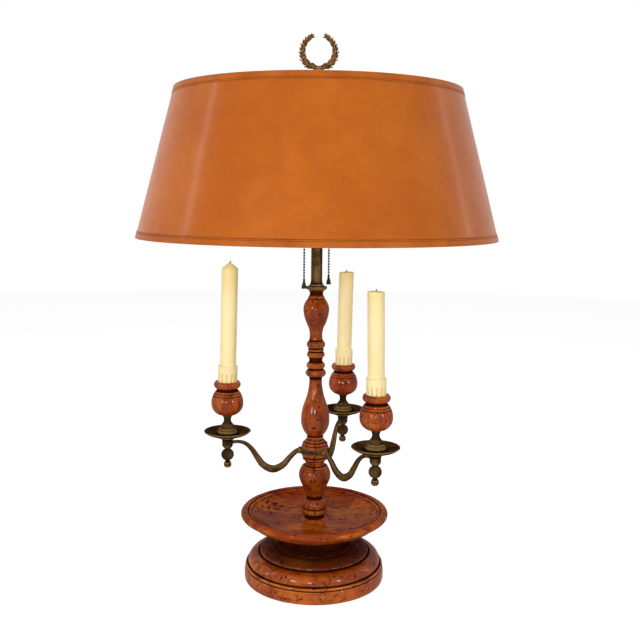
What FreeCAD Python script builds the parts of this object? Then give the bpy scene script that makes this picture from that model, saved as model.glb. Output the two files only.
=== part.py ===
# Bouillotte table lamp: turned wood base, dish and stem, three brass candle arms,
# a two-light socket cluster with pull chains, a tapered drum shade and a wreath finial.
# Millimetres, +Z up, origin on the table under the centre of the felt pad.
# The front of the lamp faces -Y. One STEP file is written for each piece.

import FreeCAD, Part
import math
import os

from FreeCAD import Vector

os.makedirs("parts", exist_ok=True)

# Overall sizes
LAMP_HEIGHT = 762.0
FELT_BOTTOM = 0.0
FELT_THICKNESS = 1.6
FELT_RADIUS = 93.0
WOOD_LIFT = 0.6
FIT_GAP = 0.02

# Heights of the seats where one turned piece stands on the next
PLINTH_TOP = 51.0
NECK_TOP = 76.0
DISH_SEAT = 88.0
LOWER_KNOP_TOP = 169.0
ARM_KNOP_TOP = 204.4
STEM_TOP = 418.0

# Turned wood radii
PLINTH_RADIUS = 99.9
DISH_RADIUS = 105.4
DISH_RIM_TOP = 101.0
LOWER_KNOP_RADIUS = 22.7
ARM_KNOP_RADIUS = 19.3
BALUSTER_RADIUS = 20.2
VASE_RADIUS = 18.0
SPIGOT_RADIUS = 8.5
SPIGOT_LENGTH = 5.0
SPIGOT_GAP = 0.1

# Lamp pipe, its nut and washer, and the cord outlet
PIPE_RADIUS = 5.0
PIPE_BORE = 3.4
PIPE_HOLE = 5.2
PIPE_BOTTOM = 11.0
PIPE_ENTRY = 8.0
RECESS_RADIUS = 58.0
RECESS_TOP = 22.0
NUT_HEIGHT = 6.0
NUT_ACROSS_FLATS = 17.0
WASHER_RADIUS = 16.0
WASHER_THICKNESS = 1.6
OUTLET_HEIGHT = 11.0
OUTLET_BORE = 3.6
OUTLET_SLEEVE = 5.0
OUTLET_FLANGE = 8.0
OUTLET_FLANGE_THICKNESS = 2.0

# Band and the three arms
BAND_HEIGHT = 188.4
BAND_WIDTH = 8.4
BAND_INNER = 18.7
BAND_OUTER = 20.0
ARM_REACH = 124.4
ARM_BEARING = {"left": 190.15, "right": -49.85, "rear": 70.15}
STUD_RADIUS = 2.4
STUD_HOLE = 2.5
STUD_TOP = 230.0
DROP_BOTTOM = 167.6
BOSS_BOTTOM = 196.0
BOSS_TOP = 214.6
KNUCKLE_RADIUS = 4.9
KNUCKLE_LENGTH = 4.0
ARM_LOW = 150.0
ARM_HIGH = 230.0
PAN_RADIUS = 32.5
PAN_RIM = 220.5
PEDESTAL_FOOT = 222.0
CUP_BOTTOM = 243.2
CUP_TOP = 291.2
CUP_RADIUS = 22.2
CUP_FLOOR = 268.5
SCREW_RADIUS = 3.0
SCREW_HOLE = 3.1
SCREW_LENGTH = 12.0

# Candles: height of the shoulder, form of the tip, and lean in the cup in degrees
CANDLE_RADIUS = 11.2
CANDLE_COLLAR = 13.4
CANDLE_COLLAR_TOP = 313.0
CANDLE_FOOT = 268.9
CANDLE_FLUTES = 12
FLUTE_LENGTH = 34.0
FLUTE_SLANT = 7.0
WICK_RADIUS = 0.95
WICK_HOLE = 1.0
WICK_DEPTH = 4.0
WICK_STUB = 2.2
CANDLE_TOP = {"left": 448.0, "right": 426.0, "rear": 433.0}
CANDLE_TIP = {"left": 8.0, "right": 0.8, "rear": 1.2}
CANDLE_LEAN = {"left": (1.4, 10.0), "right": (1.2, 180.0), "rear": (0.9, 0.0)}

# Brass tube and socket cluster
TUBE_RADIUS = 7.8
TUBE_WALL = 0.8
TUBE_FOOT = 420.8
CLUSTER_BOTTOM = 552.0
SOCKET_HEIGHT = 572.0
CLUSTER_TOP = 600.0
SOCKET_BEARING = {"front": 242.0, "rear": 62.0}
SOCKET_RADIUS = 17.0
NOZZLE_RADIUS = 4.9
NOZZLE_END = 21.0
CAP_FOOT = 14.4
CAP_MOUTH = 33.0
CAP_HOLE = 4.95
SHELL_START = 29.0
SHELL_MOUTH = 71.8
SHELL_WALL = 0.6
SWITCH_START = 22.0
SWITCH_END = 49.0
SWITCH_RADIUS = 15.4
SCREW_SHELL_END = 70.8
GUIDE_REACH = 36.0
GUIDE_MOUTH = 546.0
CHAIN_BEADS = 38
BEAD_PITCH = 3.3
BEAD_RADIUS = 1.2
LINK_RADIUS = 0.4
BELL_TOP = 434.2
BELL_BOTTOM = 422.2
BELL_RADIUS = 3.5
BULB_MOUTH = 76.0
BULB_CENTRE = 123.0
BULB_RADIUS = 30.0
GLASS_THICKNESS = 0.8

# Shade
SHADE_BOTTOM = 489.1
SHADE_TOP = 687.6
SHADE_BOTTOM_RADIUS = 246.4
SHADE_TOP_RADIUS = 193.4
SKIN_THICKNESS = 0.9
TRIM_THICKNESS = 0.6
TRIM_WIDTH = 10.0
RING_RADIUS = 1.3
RING_SLOT = 2.9
HUB_HEIGHT = 681.0
HUB_RADIUS = 13.0
HUB_THICKNESS = 2.6
HUB_BOSS_RADIUS = 8.0
HUB_BOSS_TOP = 684.6
SPOKE_RADIUS = 1.6
ROD_RADIUS = 3.1
ROD_ENTRY = 12.0
ROD_SEAT_RADIUS = 8.4
ROD_TOP = 696.0

# Finial
FINIAL_SEAT = 685.1
FINIAL_FOOT_RADIUS = 8.4
WREATH_CENTRE = 738.4
WREATH_RADIUS = 21.9
WREATH_CORE = 2.1
WREATH_FOOT = 716.5
BRANCH_SPAN = 152.0
BRANCH_START = 8.0
TIE_RADIUS = 3.6
TIE_LENGTH = 7.0
LEAF_ROWS = 10
LEAF_LENGTH = 9.4
LEAF_HALF_WIDTH = 2.3
LEAF_HALF_THICKNESS = 1.1
LEAF_SPREADS = ((26.0, 0.0), (-26.0, 0.0), (20.0, 90.0), (-20.0, 90.0))

SIDES = ("left", "right", "rear")
ENDS = ("front", "rear")
SHADE_EDGES = ((SHADE_BOTTOM, 1), (SHADE_TOP, -1))


def at(radius, height):
    """A point of a turning's outline."""
    return Vector(radius, 0, height)


def outline(start, *moves):
    """A closed wire in the XZ plane. A move of two numbers is a line to (radius, height);
    a move of four is an arc through the first pair to the second."""
    edges = []
    here = start
    for move in moves:
        end = move[-2:]
        if len(move) == 2:
            edges.append(Part.LineSegment(at(*here), at(*end)).toShape())
        else:
            edges.append(Part.Arc(at(*here), at(*move[:2]), at(*end)).toShape())
        here = end
    if (at(*here) - at(*start)).Length > 1e-6:
        edges.append(Part.LineSegment(at(*here), at(*start)).toShape())
    return Part.Wire(edges)


def turned(start, *moves):
    """The solid that the outline sweeps round the Z axis."""
    return Part.Face(outline(start, *moves)).revolve(Vector(), Vector(0, 0, 1), 360)


def rod(radius, bottom, top, x=0.0, y=0.0):
    """An upright cylinder."""
    return Part.makeCylinder(radius, top - bottom, Vector(x, y, bottom))


def swung(shape, bearing, reach=0.0):
    """The shape moved out along X by reach, then turned about Z to the bearing."""
    moved = shape.copy()
    moved.translate(Vector(reach, 0, 0))
    moved.rotate(Vector(), Vector(0, 0, 1), bearing)
    return moved


def hexagon(radius, height):
    """Six corners round the Z axis."""
    turns = [math.radians(60.0 * k) for k in range(6)]
    return [Vector(radius * math.cos(turn), radius * math.sin(turn), height) for turn in turns]


def laid(shape, bearing):
    """A turning made about Z, laid level along the bearing at the height of the sockets."""
    moved = shape.copy()
    moved.rotate(Vector(), Vector(0, 1, 0), 90)
    moved.translate(Vector(0, 0, SOCKET_HEIGHT))
    moved.rotate(Vector(), Vector(0, 0, 1), bearing)
    return moved


def groove(radius, height, depth=0.9):
    """A V-shaped ring to cut from a turning at that radius."""
    half = depth * 0.8
    return turned(
        (radius - depth, height),
        (radius + 1.0, height - half - 0.6),
        (radius + 1.0, height + half + 0.6),
    )


def save(name, shape):
    """Writes one piece, after checking that it is made of closed solids."""
    if not shape.Solids or not shape.isValid():
        raise ValueError(name + " is not a valid solid")
    shape.exportStep("parts/" + name + ".step")
    print("%-20s %8.2f cm3  %d solid(s)" % (name, shape.Volume / 1000.0, len(shape.Solids)))


# Base

def felt_pad():
    return rod(FELT_RADIUS, FELT_BOTTOM, FELT_THICKNESS)


def outlet_rod(radius, start, length):
    """A level cylinder towards the back, at the height of the cord outlet."""
    return Part.makeCylinder(radius, length, Vector(0, start, OUTLET_HEIGHT), Vector(0, 1, 0))


def base_plinth():
    """The moulded foot: a straight band, a thin bead, a big cushion and a smaller step,
    hollow below for the nut and the cord."""
    body = turned(
        (PIPE_HOLE, RECESS_TOP),
        (RECESS_RADIUS, RECESS_TOP),
        (RECESS_RADIUS, FELT_THICKNESS),
        (FELT_RADIUS + 0.4, FELT_THICKNESS),
        (FELT_RADIUS + 0.4, WOOD_LIFT),
        (PLINTH_RADIUS - 2.0, WOOD_LIFT),
        (PLINTH_RADIUS - 0.4, 1.4, PLINTH_RADIUS, 3.5),
        (PLINTH_RADIUS + 0.3, 11.0, PLINTH_RADIUS - 0.7, 18.0),
        (PLINTH_RADIUS - 2.4, 19.4),
        (PLINTH_RADIUS - 1.0, 21.2, PLINTH_RADIUS - 3.6, 23.2),
        (PLINTH_RADIUS - 5.2, 23.6),
        (PLINTH_RADIUS - 8.0, 34.0, PLINTH_RADIUS - 19.0, 38.8),
        (PLINTH_RADIUS - 21.8, 39.4),
        (PLINTH_RADIUS - 22.0, 41.0),
        (PLINTH_RADIUS - 26.6, 47.0, PLINTH_RADIUS - 38.5, 49.4),
        (PLINTH_RADIUS - 41.5, 49.6),
        (PLINTH_RADIUS - 42.0, PLINTH_TOP),
        (RECESS_RADIUS / 2, PLINTH_TOP),
        (RECESS_RADIUS / 2, PLINTH_TOP - SPIGOT_LENGTH),
        (PIPE_HOLE, PLINTH_TOP - SPIGOT_LENGTH),
    )
    return body.cut(outlet_rod(OUTLET_SLEEVE + SPIGOT_GAP, RECESS_RADIUS / 2, PLINTH_RADIUS))


def cord_bushing():
    """The flanged sleeve in the back of the plinth that a cord passes through."""
    wall = PLINTH_RADIUS + 0.3
    sleeve = outlet_rod(OUTLET_SLEEVE, RECESS_RADIUS - 1.0, wall - RECESS_RADIUS + 2.0)
    flange = outlet_rod(OUTLET_FLANGE, wall, OUTLET_FLANGE_THICKNESS)
    flange = flange.cut(rod(wall + 0.05, 0, 2 * OUTLET_HEIGHT))
    bore = outlet_rod(OUTLET_BORE, RECESS_RADIUS - 5.0, RECESS_RADIUS)
    return sleeve.fuse(flange).cut(bore).removeSplitter()


def base_nut_and_washer():
    """The washer and hexagon nut that clamp the whole stem from below."""
    washer = rod(WASHER_RADIUS, RECESS_TOP - WASHER_THICKNESS, RECESS_TOP)
    washer = washer.cut(rod(PIPE_HOLE, 0, LAMP_HEIGHT))
    corner = NUT_ACROSS_FLATS / math.sqrt(3)
    top = RECESS_TOP - WASHER_THICKNESS
    points = hexagon(corner, top - NUT_HEIGHT)
    nut = Part.Face(Part.makePolygon(points + points[:1])).extrude(Vector(0, 0, NUT_HEIGHT))
    chamfer = turned(
        (0, top - NUT_HEIGHT), (corner - 1.4, top - NUT_HEIGHT), (corner + 1.6, top - NUT_HEIGHT + 1.8),
        (corner + 1.6, top), (0, top)
    )
    nut = nut.common(chamfer).cut(rod(PIPE_RADIUS, 0, LAMP_HEIGHT))
    return Part.makeCompound([washer, nut])


def lamp_pipe():
    """The hollow threaded pipe from the base to the cluster. Its thread is not cut."""
    pipe = rod(PIPE_RADIUS, PIPE_BOTTOM, CLUSTER_BOTTOM + PIPE_ENTRY)
    return pipe.cut(rod(PIPE_BORE, 0, LAMP_HEIGHT))


def dish_neck():
    """The waisted neck between the plinth and the dish, with a bead at its foot."""
    return turned(
        (PIPE_HOLE, PLINTH_TOP - SPIGOT_LENGTH + SPIGOT_GAP),
        (RECESS_RADIUS / 2 - SPIGOT_GAP, PLINTH_TOP - SPIGOT_LENGTH + SPIGOT_GAP),
        (RECESS_RADIUS / 2 - SPIGOT_GAP, PLINTH_TOP),
        (52.0, PLINTH_TOP),
        (53.2, 52.4, 52.0, 53.8),
        (50.6, 54.2),
        (44.0, 63.0, 50.0, 73.0),
        (54.0, 73.6),
        (54.0, NECK_TOP),
        (PIPE_HOLE, NECK_TOP),
    )


def drip_dish():
    """The wide turned dish: rounded rim with an inner bead, hollowed floor and a low
    boss round the stem."""
    return turned(
        (PIPE_HOLE, NECK_TOP),
        (60.0, NECK_TOP),
        (84.0, 79.0, 98.0, 90.6),
        (DISH_RADIUS - 2.4, 92.0),
        (DISH_RADIUS, 96.4, DISH_RADIUS - 2.6, 100.0),
        (DISH_RADIUS - 6.0, DISH_RIM_TOP + 0.2, DISH_RADIUS - 9.6, 100.0),
        (DISH_RADIUS - 11.2, 98.8),
        (DISH_RADIUS - 12.9, 98.9, DISH_RADIUS - 14.4, 97.6),
        (DISH_RADIUS - 26.0, 88.0, DISH_RADIUS - 50.0, 86.0),
        (27.0, 85.6),
        (22.4, 86.2, 20.0, 88.6),
        (SPIGOT_RADIUS * 2, DISH_SEAT + 0.6),
        (SPIGOT_RADIUS * 2, DISH_SEAT),
        (SPIGOT_RADIUS + SPIGOT_GAP, DISH_SEAT),
        (SPIGOT_RADIUS + SPIGOT_GAP, DISH_SEAT - SPIGOT_LENGTH - SPIGOT_GAP),
        (PIPE_HOLE, DISH_SEAT - SPIGOT_LENGTH - SPIGOT_GAP),
    )


# Stem

def lower_knop():
    """The stem's foot: spigot, ring, bell and the big lower knop."""
    r = LOWER_KNOP_RADIUS
    body = turned(
        (PIPE_HOLE, DISH_SEAT - SPIGOT_LENGTH),
        (SPIGOT_RADIUS, DISH_SEAT - SPIGOT_LENGTH),
        (SPIGOT_RADIUS, DISH_SEAT),
        (15.2, DISH_SEAT),
        (13.6, 91.4, 15.6, 95.0),
        (18.9, 98.4, 17.4, 102.4),
        (16.4, 102.8),
        (15.4, 110.0, 12.4, 115.8),
        (11.2, 118.4, 12.2, 122.4),
        (15.8, 131.0, r - 2.4, 142.0),
        (r, 150.4, r - 1.8, 160.0),
        (19.2, 163.4, 16.6, 165.8),
        (14.4, 166.2),
        (13.0, 168.4, 11.0, LOWER_KNOP_TOP),
        (SPIGOT_RADIUS + SPIGOT_GAP, LOWER_KNOP_TOP),
        (SPIGOT_RADIUS + SPIGOT_GAP, LOWER_KNOP_TOP - SPIGOT_LENGTH - SPIGOT_GAP),
        (PIPE_HOLE, LOWER_KNOP_TOP - SPIGOT_LENGTH - SPIGOT_GAP),
    )
    return body.cut(groove(19.0, 163.6, 0.8))


def arm_knop():
    """The ball that carries the band, reeded above and below it."""
    seat = BAND_INNER - 0.1
    low = BAND_HEIGHT - BAND_WIDTH / 2
    high = BAND_HEIGHT + BAND_WIDTH / 2
    return turned(
        (PIPE_HOLE, LOWER_KNOP_TOP - SPIGOT_LENGTH),
        (SPIGOT_RADIUS, LOWER_KNOP_TOP - SPIGOT_LENGTH),
        (SPIGOT_RADIUS, LOWER_KNOP_TOP),
        (11.0, LOWER_KNOP_TOP),
        (13.9, 170.8, 13.9, 173.6),
        (17.2, 175.0, 17.0, 178.4),
        (18.9, 180.4, ARM_KNOP_RADIUS, low),
        (seat, low),
        (seat, high),
        (ARM_KNOP_RADIUS, high),
        (18.9, 194.6, 17.8, 196.4),
        (17.4, 199.4, 15.0, 200.2),
        (14.2, 202.8, 10.6, 203.2),
        (10.2, ARM_KNOP_TOP),
        (SPIGOT_RADIUS + SPIGOT_GAP, ARM_KNOP_TOP),
        (SPIGOT_RADIUS + SPIGOT_GAP, ARM_KNOP_TOP - SPIGOT_LENGTH - SPIGOT_GAP),
        (PIPE_HOLE, ARM_KNOP_TOP - SPIGOT_LENGTH - SPIGOT_GAP),
    )


def stem_baluster():
    """The long upper turning: baluster, four beads, spool and vase."""
    return turned(
        (PIPE_HOLE, ARM_KNOP_TOP - SPIGOT_LENGTH),
        (SPIGOT_RADIUS, ARM_KNOP_TOP - SPIGOT_LENGTH),
        (SPIGOT_RADIUS, ARM_KNOP_TOP),
        (10.2, ARM_KNOP_TOP),
        (12.0, 206.8, 10.9, 209.4),
        (17.9, 219.8, BALUSTER_RADIUS, 232.0),
        (18.4, 248.4, 15.0, 259.0),
        (11.0, 272.0, 9.0, 286.0),
        (9.0, 292.6),
        (10.2, 294.8),
        (14.5, 300.0, 10.8, 305.3),
        (10.6, 306.4),
        (13.1, 310.8, 10.2, 315.2),
        (9.4, 318.8, 10.3, 322.2),
        (12.6, 326.4, 10.6, 330.2),
        (9.9, 330.8),
        (11.3, 332.8, 9.9, 334.8),
        (10.2, 335.4),
        (13.0, 340.6, 9.9, 345.8),
        (8.9, 354.0, 11.4, 366.2),
        (16.2, 378.4, VASE_RADIUS, 388.4),
        (16.7, 397.4, 12.0, 405.0),
        (11.1, 405.6),
        (11.8, 406.8, 11.1, 408.0),
        (9.3, 411.4, 12.8, STEM_TOP),
        (SPIGOT_RADIUS, STEM_TOP),
        (PIPE_HOLE, STEM_TOP),
    )


def stem_cap():
    """The flared brass cap on top of the turned stem."""
    return turned(
        (PIPE_HOLE, STEM_TOP),
        (12.6, STEM_TOP),
        (13.8, 418.6, 14.5, 420.4),
        (14.6, 421.8, 13.6, 422.4),
        (12.4, 421.4, 10.4, TUBE_FOOT),
        (PIPE_HOLE, TUBE_FOOT),
    )


def tube_collar():
    """The ring moulding round the foot of the brass tube."""
    bore = TUBE_RADIUS + 0.05
    return turned(
        (bore, TUBE_FOOT),
        (8.9, TUBE_FOOT),
        (8.5, 422.2),
        (10.0, 423.6, 9.9, 425.2),
        (8.9, 426.0, 8.4, 428.4),
        (bore, 428.4),
    )


def riser_tube():
    tube = rod(TUBE_RADIUS, TUBE_FOOT, CLUSTER_BOTTOM)
    return tube.cut(rod(TUBE_RADIUS - TUBE_WALL, 0, LAMP_HEIGHT))


# Band and arms

def arm_band():
    half = BAND_WIDTH / 2
    return turned(
        (BAND_INNER, BAND_HEIGHT - half + 0.05),
        (BAND_OUTER - 0.5, BAND_HEIGHT - half + 0.05),
        (BAND_OUTER, BAND_HEIGHT, BAND_OUTER - 0.5, BAND_HEIGHT + half - 0.05),
        (BAND_INNER, BAND_HEIGHT + half - 0.05),
    )


# Stations along the middle of an arm: radius, height, depth and width of the bar there
ARM_STATIONS = (
    (19.0, 187.8, 6.6, 6.0),
    (26.0, 187.6, 6.8, 6.0),
    (36.0, 178.8, 7.2, 6.6),
    (46.0, 168.2, 8.2, 7.4),
    (60.0, 163.0, 9.0, 8.2),
    (74.0, 169.4, 8.4, 7.8),
    (83.0, 181.6, 7.4, 7.0),
    (91.0, 193.6, 6.4, 6.2),
    (99.5, 201.4, 5.6, 5.4),
    (109.0, 204.2, 5.0, 5.0),
    (119.0, 203.8, 5.0, 5.0),
)


def arm_bar():
    """The S-shaped bar, six-sided with a ridge along each flank, heaviest in its dip."""
    middle = Part.BSplineCurve()
    middle.interpolate([Vector(s[0], 0, s[1]) for s in ARM_STATIONS])
    sections = []
    for radius, height, depth, width in ARM_STATIONS:
        here = Vector(radius, 0, height)
        along = middle.tangent(middle.parameter(here))[0]
        up = Vector(-along.z, 0, along.x)
        side = Vector(0, 1, 0)
        corners = ((1, 0), (0.42, 1), (-0.42, 1), (-1, 0), (-0.42, -1), (0.42, -1))
        points = [here + side * (a * width / 2) + up * (b * depth / 2) for a, b in corners]
        sections.append(Part.makePolygon(points + points[:1]))
    return Part.makeLoft(sections, True, False)


def arm_boss():
    """The cast end of an arm: a flare under the pan and a short socket below it."""
    return turned(
        (STUD_HOLE, BOSS_BOTTOM),
        (5.2, BOSS_BOTTOM),
        (7.4, 199.0),
        (7.6, 205.6),
        (9.4, 209.8, 14.2, 211.6),
        (14.8, 213.0, 14.2, BOSS_TOP),
        (STUD_HOLE, BOSS_TOP),
    )


def arm(side):
    """One arm with its knuckle at the band and its boss under the pan."""
    start = Vector(BAND_OUTER - 1.0, 0, BAND_HEIGHT)
    reach = Vector(KNUCKLE_LENGTH, 0, 0)
    knuckle = Part.makeCylinder(KNUCKLE_RADIUS, KNUCKLE_LENGTH, start, reach)
    knuckle = knuckle.fuse(Part.makeSphere(KNUCKLE_RADIUS, start + reach))
    boss = arm_boss()
    boss.translate(Vector(ARM_REACH, 0, 0))
    body = arm_bar().fuse([knuckle, boss]).cut(rod(BAND_OUTER + FIT_GAP, ARM_LOW, ARM_HIGH))
    body = body.cut(rod(STUD_HOLE, ARM_LOW, ARM_HIGH, ARM_REACH))
    return swung(body.removeSplitter(), ARM_BEARING[side])


def drip_pan(side):
    """The shallow brass saucer under a candle cup, with a ring boss in the middle."""
    body = turned(
        (STUD_HOLE, BOSS_TOP),
        (15.0, BOSS_TOP + 0.2),
        (25.0, 215.6, PAN_RADIUS - 0.6, PAN_RIM - 0.8),
        (PAN_RADIUS, PAN_RIM, PAN_RADIUS - 0.9, PAN_RIM + 0.7),
        (24.0, 217.6, 15.2, 217.0),
        (13.8, 217.4),
        (13.4, 220.6, 10.0, PEDESTAL_FOOT),
        (STUD_HOLE, PEDESTAL_FOOT),
    )
    return swung(body, ARM_BEARING[side], ARM_REACH)


def pan_drop(side):
    """The turned drop below an arm. Its stud clamps the arm, pan and pedestal together."""
    body = turned(
        (0, DROP_BOTTOM),
        (1.4, DROP_BOTTOM),
        (4.6, 169.2, 5.2, 172.8),
        (4.6, 175.6, 3.3, 176.6),
        (3.3, 178.0),
        (3.6, 178.6),
        (8.9, 186.6, 3.6, 194.4),
        (4.8, BOSS_BOTTOM),
        (STUD_RADIUS, BOSS_BOTTOM),
        (STUD_RADIUS, STUD_TOP),
        (0, STUD_TOP),
    )
    return swung(body, ARM_BEARING[side], ARM_REACH)


def cup_pedestal(side):
    """The waisted brass stand between the pan and the wood cup."""
    body = turned(
        (STUD_HOLE, PEDESTAL_FOOT),
        (10.6, PEDESTAL_FOOT),
        (11.9, 223.8, 10.6, 225.6),
        (9.8, 227.0, 8.6, 229.6),
        (5.0, 237.0, 7.8, CUP_BOTTOM),
        (SCREW_RADIUS, CUP_BOTTOM),
        (SCREW_RADIUS, CUP_BOTTOM + SCREW_LENGTH),
        (0, CUP_BOTTOM + SCREW_LENGTH),
        (0, STUD_TOP + 0.4),
        (STUD_HOLE, STUD_TOP + 0.4),
    )
    return swung(body, ARM_BEARING[side], ARM_REACH)


def candle_cup(side):
    """The turned wood cup: round belly, waist and a rolled lip, bored for the candle."""
    body = turned(
        (SCREW_HOLE, CUP_BOTTOM),
        (8.0, CUP_BOTTOM),
        (19.4, 250.4, CUP_RADIUS, 261.0),
        (20.6, 270.4, 15.2, 278.2),
        (14.4, 279.8, 15.0, 281.4),
        (18.6, 286.6, 16.4, CUP_TOP),
        (14.4, CUP_TOP),
        (12.8, 279.0),
        (10.8, CUP_FLOOR),
        (0, CUP_FLOOR),
        (0, CUP_BOTTOM + SCREW_LENGTH + 0.4),
        (SCREW_HOLE, CUP_BOTTOM + SCREW_LENGTH + 0.4),
    )
    body = body.cut([groove(18.1, 274.9, 0.7), groove(19.9, 271.4, 0.6)])
    return swung(body, ARM_BEARING[side], ARM_REACH)


def candle(side):
    """A dinner candle with a fluted self-fitting end, leaning a little in its cup, and
    the stub of its wick as a second solid."""
    top = CANDLE_TOP[side]
    tip = CANDLE_TIP[side]
    wax = turned(
        (0, CANDLE_FOOT),
        (9.6, CANDLE_FOOT),
        (CANDLE_COLLAR - 1.6, 281.0),
        (CANDLE_COLLAR, 290.0),
        (CANDLE_COLLAR + 0.2, CANDLE_COLLAR_TOP - 0.8),
        (CANDLE_COLLAR - 0.4, CANDLE_COLLAR_TOP),
        (CANDLE_RADIUS + 0.1, CANDLE_COLLAR_TOP),
        (CANDLE_RADIUS, top - 1.2),
        (CANDLE_RADIUS - 0.9, top),
        (WICK_HOLE, top + tip),
        (WICK_HOLE, top + tip - WICK_DEPTH),
        (0, top + tip - WICK_DEPTH),
    )
    flute = Part.makeCone(1.5, 0.3, FLUTE_LENGTH, Vector(CANDLE_COLLAR - 1.5, 0, CANDLE_FOOT - 1.0))
    flute.rotate(Vector(CANDLE_COLLAR, 0, CANDLE_FOOT), Vector(0, 1, 0), FLUTE_SLANT)
    flutes = [swung(flute, 360.0 * k / CANDLE_FLUTES) for k in range(CANDLE_FLUTES)]
    wick = rod(WICK_RADIUS, top + tip - WICK_DEPTH + SPIGOT_GAP, top + tip + WICK_STUB)
    both = Part.makeCompound([wax.cut(flutes), wick])
    lean, toward = CANDLE_LEAN[side]
    heading = math.radians(toward)
    both.rotate(Vector(0, 0, CANDLE_FOOT), Vector(-math.sin(heading), math.cos(heading), 0), lean)
    bearing = math.radians(ARM_BEARING[side])
    both.translate(Vector(ARM_REACH * math.cos(bearing), ARM_REACH * math.sin(bearing), 0))
    return both


# Socket cluster

def cluster_body():
    """The turned brass hub that joins the tube, the two sockets and the shade rod."""
    body = turned(
        (0, CLUSTER_BOTTOM),
        (9.6, CLUSTER_BOTTOM),
        (10.4, CLUSTER_BOTTOM + 2.0, 9.4, CLUSTER_BOTTOM + 4.0),
        (13.2, SOCKET_HEIGHT - 10.0),
        (14.2, SOCKET_HEIGHT, 13.2, SOCKET_HEIGHT + 10.0),
        (9.0, SOCKET_HEIGHT + 16.0, 6.4, SOCKET_HEIGHT + 20.0),
        (6.0, CLUSTER_TOP),
        (0, CLUSTER_TOP),
    )
    nozzles = [laid(rod(NOZZLE_RADIUS, 8.0, NOZZLE_END), SOCKET_BEARING[end]) for end in ENDS]
    body = body.fuse(nozzles)
    body = body.cut(rod(PIPE_RADIUS + FIT_GAP, CLUSTER_BOTTOM - 1.0, CLUSTER_BOTTOM + PIPE_ENTRY))
    wires = [laid(rod(PIPE_BORE, -1.0, NOZZLE_END + 1.0), SOCKET_BEARING[end]) for end in ENDS]
    wires.append(rod(PIPE_BORE, CLUSTER_BOTTOM, SOCKET_HEIGHT))
    body = body.cut(wires)
    return body.cut(rod(ROD_RADIUS + FIT_GAP, CLUSTER_TOP - ROD_ENTRY, CLUSTER_TOP + 1.0)).removeSplitter()


def socket_cap(end):
    """The domed brass cap that screws on the cluster's nozzle."""
    r = SOCKET_RADIUS
    body = turned(
        (CAP_HOLE, CAP_FOOT),
        (7.0, CAP_FOOT),
        (7.0, 17.0),
        (13.4, 20.0, r + 0.3, 28.0),
        (r + 0.3, CAP_MOUTH),
        (r - 0.4, CAP_MOUTH),
        (r - 0.4, 28.2),
        (12.8, 20.9, 6.2, 17.9),
        (CAP_HOLE, 17.9),
    )
    return laid(body, SOCKET_BEARING[end])


def chain_hole(radius, low, high):
    """An upright hole at a chain's place, for a socket laid along X."""
    return Part.makeCylinder(radius, high - low, Vector(GUIDE_REACH, 0, low))


def socket_shell(end):
    """The brass shell over the socket, beaded, with a rolled mouth and a chain hole."""
    r = SOCKET_RADIUS - 0.5
    tube = turned(
        (r - SHELL_WALL, SHELL_START),
        (r, SHELL_START),
        (r, 42.0),
        (r + 0.9, 43.4, r, 44.8),
        (r, SHELL_MOUTH - 2.4),
        (r + 1.0, SHELL_MOUTH - 1.2, r, SHELL_MOUTH),
        (r - SHELL_WALL, SHELL_MOUTH),
    )
    tube = laid(tube, 0.0).cut(chain_hole(1.8, SOCKET_HEIGHT - 30.0, SOCKET_HEIGHT))
    return swung(tube, SOCKET_BEARING[end])


def socket_core(end):
    """The moulded switch body, with a fibre liner's thickness left round it."""
    body = turned(
        (0, SWITCH_START),
        (9.0, SWITCH_START),
        (SWITCH_RADIUS, SWITCH_START + 8.0),
        (SWITCH_RADIUS, SWITCH_END),
        (0, SWITCH_END),
    )
    body = laid(body, 0.0).cut(chain_hole(3.0, SOCKET_HEIGHT - 30.0, SOCKET_HEIGHT - 9.0))
    return swung(body, SOCKET_BEARING[end])


def screw_shell(end):
    """The brass screw shell that the bulb turns in. Its thread is not cut."""
    body = turned(
        (10.0, SWITCH_END),
        (14.3, SWITCH_END),
        (14.3, SCREW_SHELL_END),
        (14.3 - SHELL_WALL, SCREW_SHELL_END),
        (14.3 - SHELL_WALL, SWITCH_END + SHELL_WALL),
        (10.0, SWITCH_END + SHELL_WALL),
    )
    return laid(body, SOCKET_BEARING[end])


def chain_guide(end):
    """The little bell-mouthed nozzle that the pull chain hangs from."""
    wall = SOCKET_HEIGHT - SOCKET_RADIUS
    body = turned(
        (1.8, wall + 3.0),
        (3.0, wall + 3.0),
        (3.0, GUIDE_MOUTH + 3.6),
        (3.2, GUIDE_MOUTH + 1.0, 4.4, GUIDE_MOUTH),
        (3.6, GUIDE_MOUTH),
        (1.8, GUIDE_MOUTH + 2.4),
    )
    body.translate(Vector(GUIDE_REACH, 0, 0))
    core = Part.makeCylinder(SOCKET_RADIUS - 0.48, 30.0, Vector(20, 0, SOCKET_HEIGHT), Vector(1, 0, 0))
    return swung(body.cut(core), SOCKET_BEARING[end])


def bead_string(bottom, count):
    """A six-sided string of beads and links, as one closed solid."""
    levels = []
    for k in range(count):
        low = bottom + k * BEAD_PITCH
        levels += [(LINK_RADIUS, low), (BEAD_RADIUS, low + 0.75)]
        levels += [(BEAD_RADIUS, low + 1.65), (LINK_RADIUS, low + 2.4)]
    rings = [hexagon(radius, height) for radius, height in levels]
    faces = [Part.Face(Part.makePolygon(ring + ring[:1])) for ring in (rings[0], rings[-1])]
    for low, high in zip(rings, rings[1:]):
        for k in range(6):
            n = (k + 1) % 6
            faces.append(Part.Face(Part.makePolygon([low[k], low[n], high[n], high[k], low[k]])))
    solid = Part.Solid(Part.makeShell(faces))
    if solid.Volume < 0:
        solid.reverse()
    return solid


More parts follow.
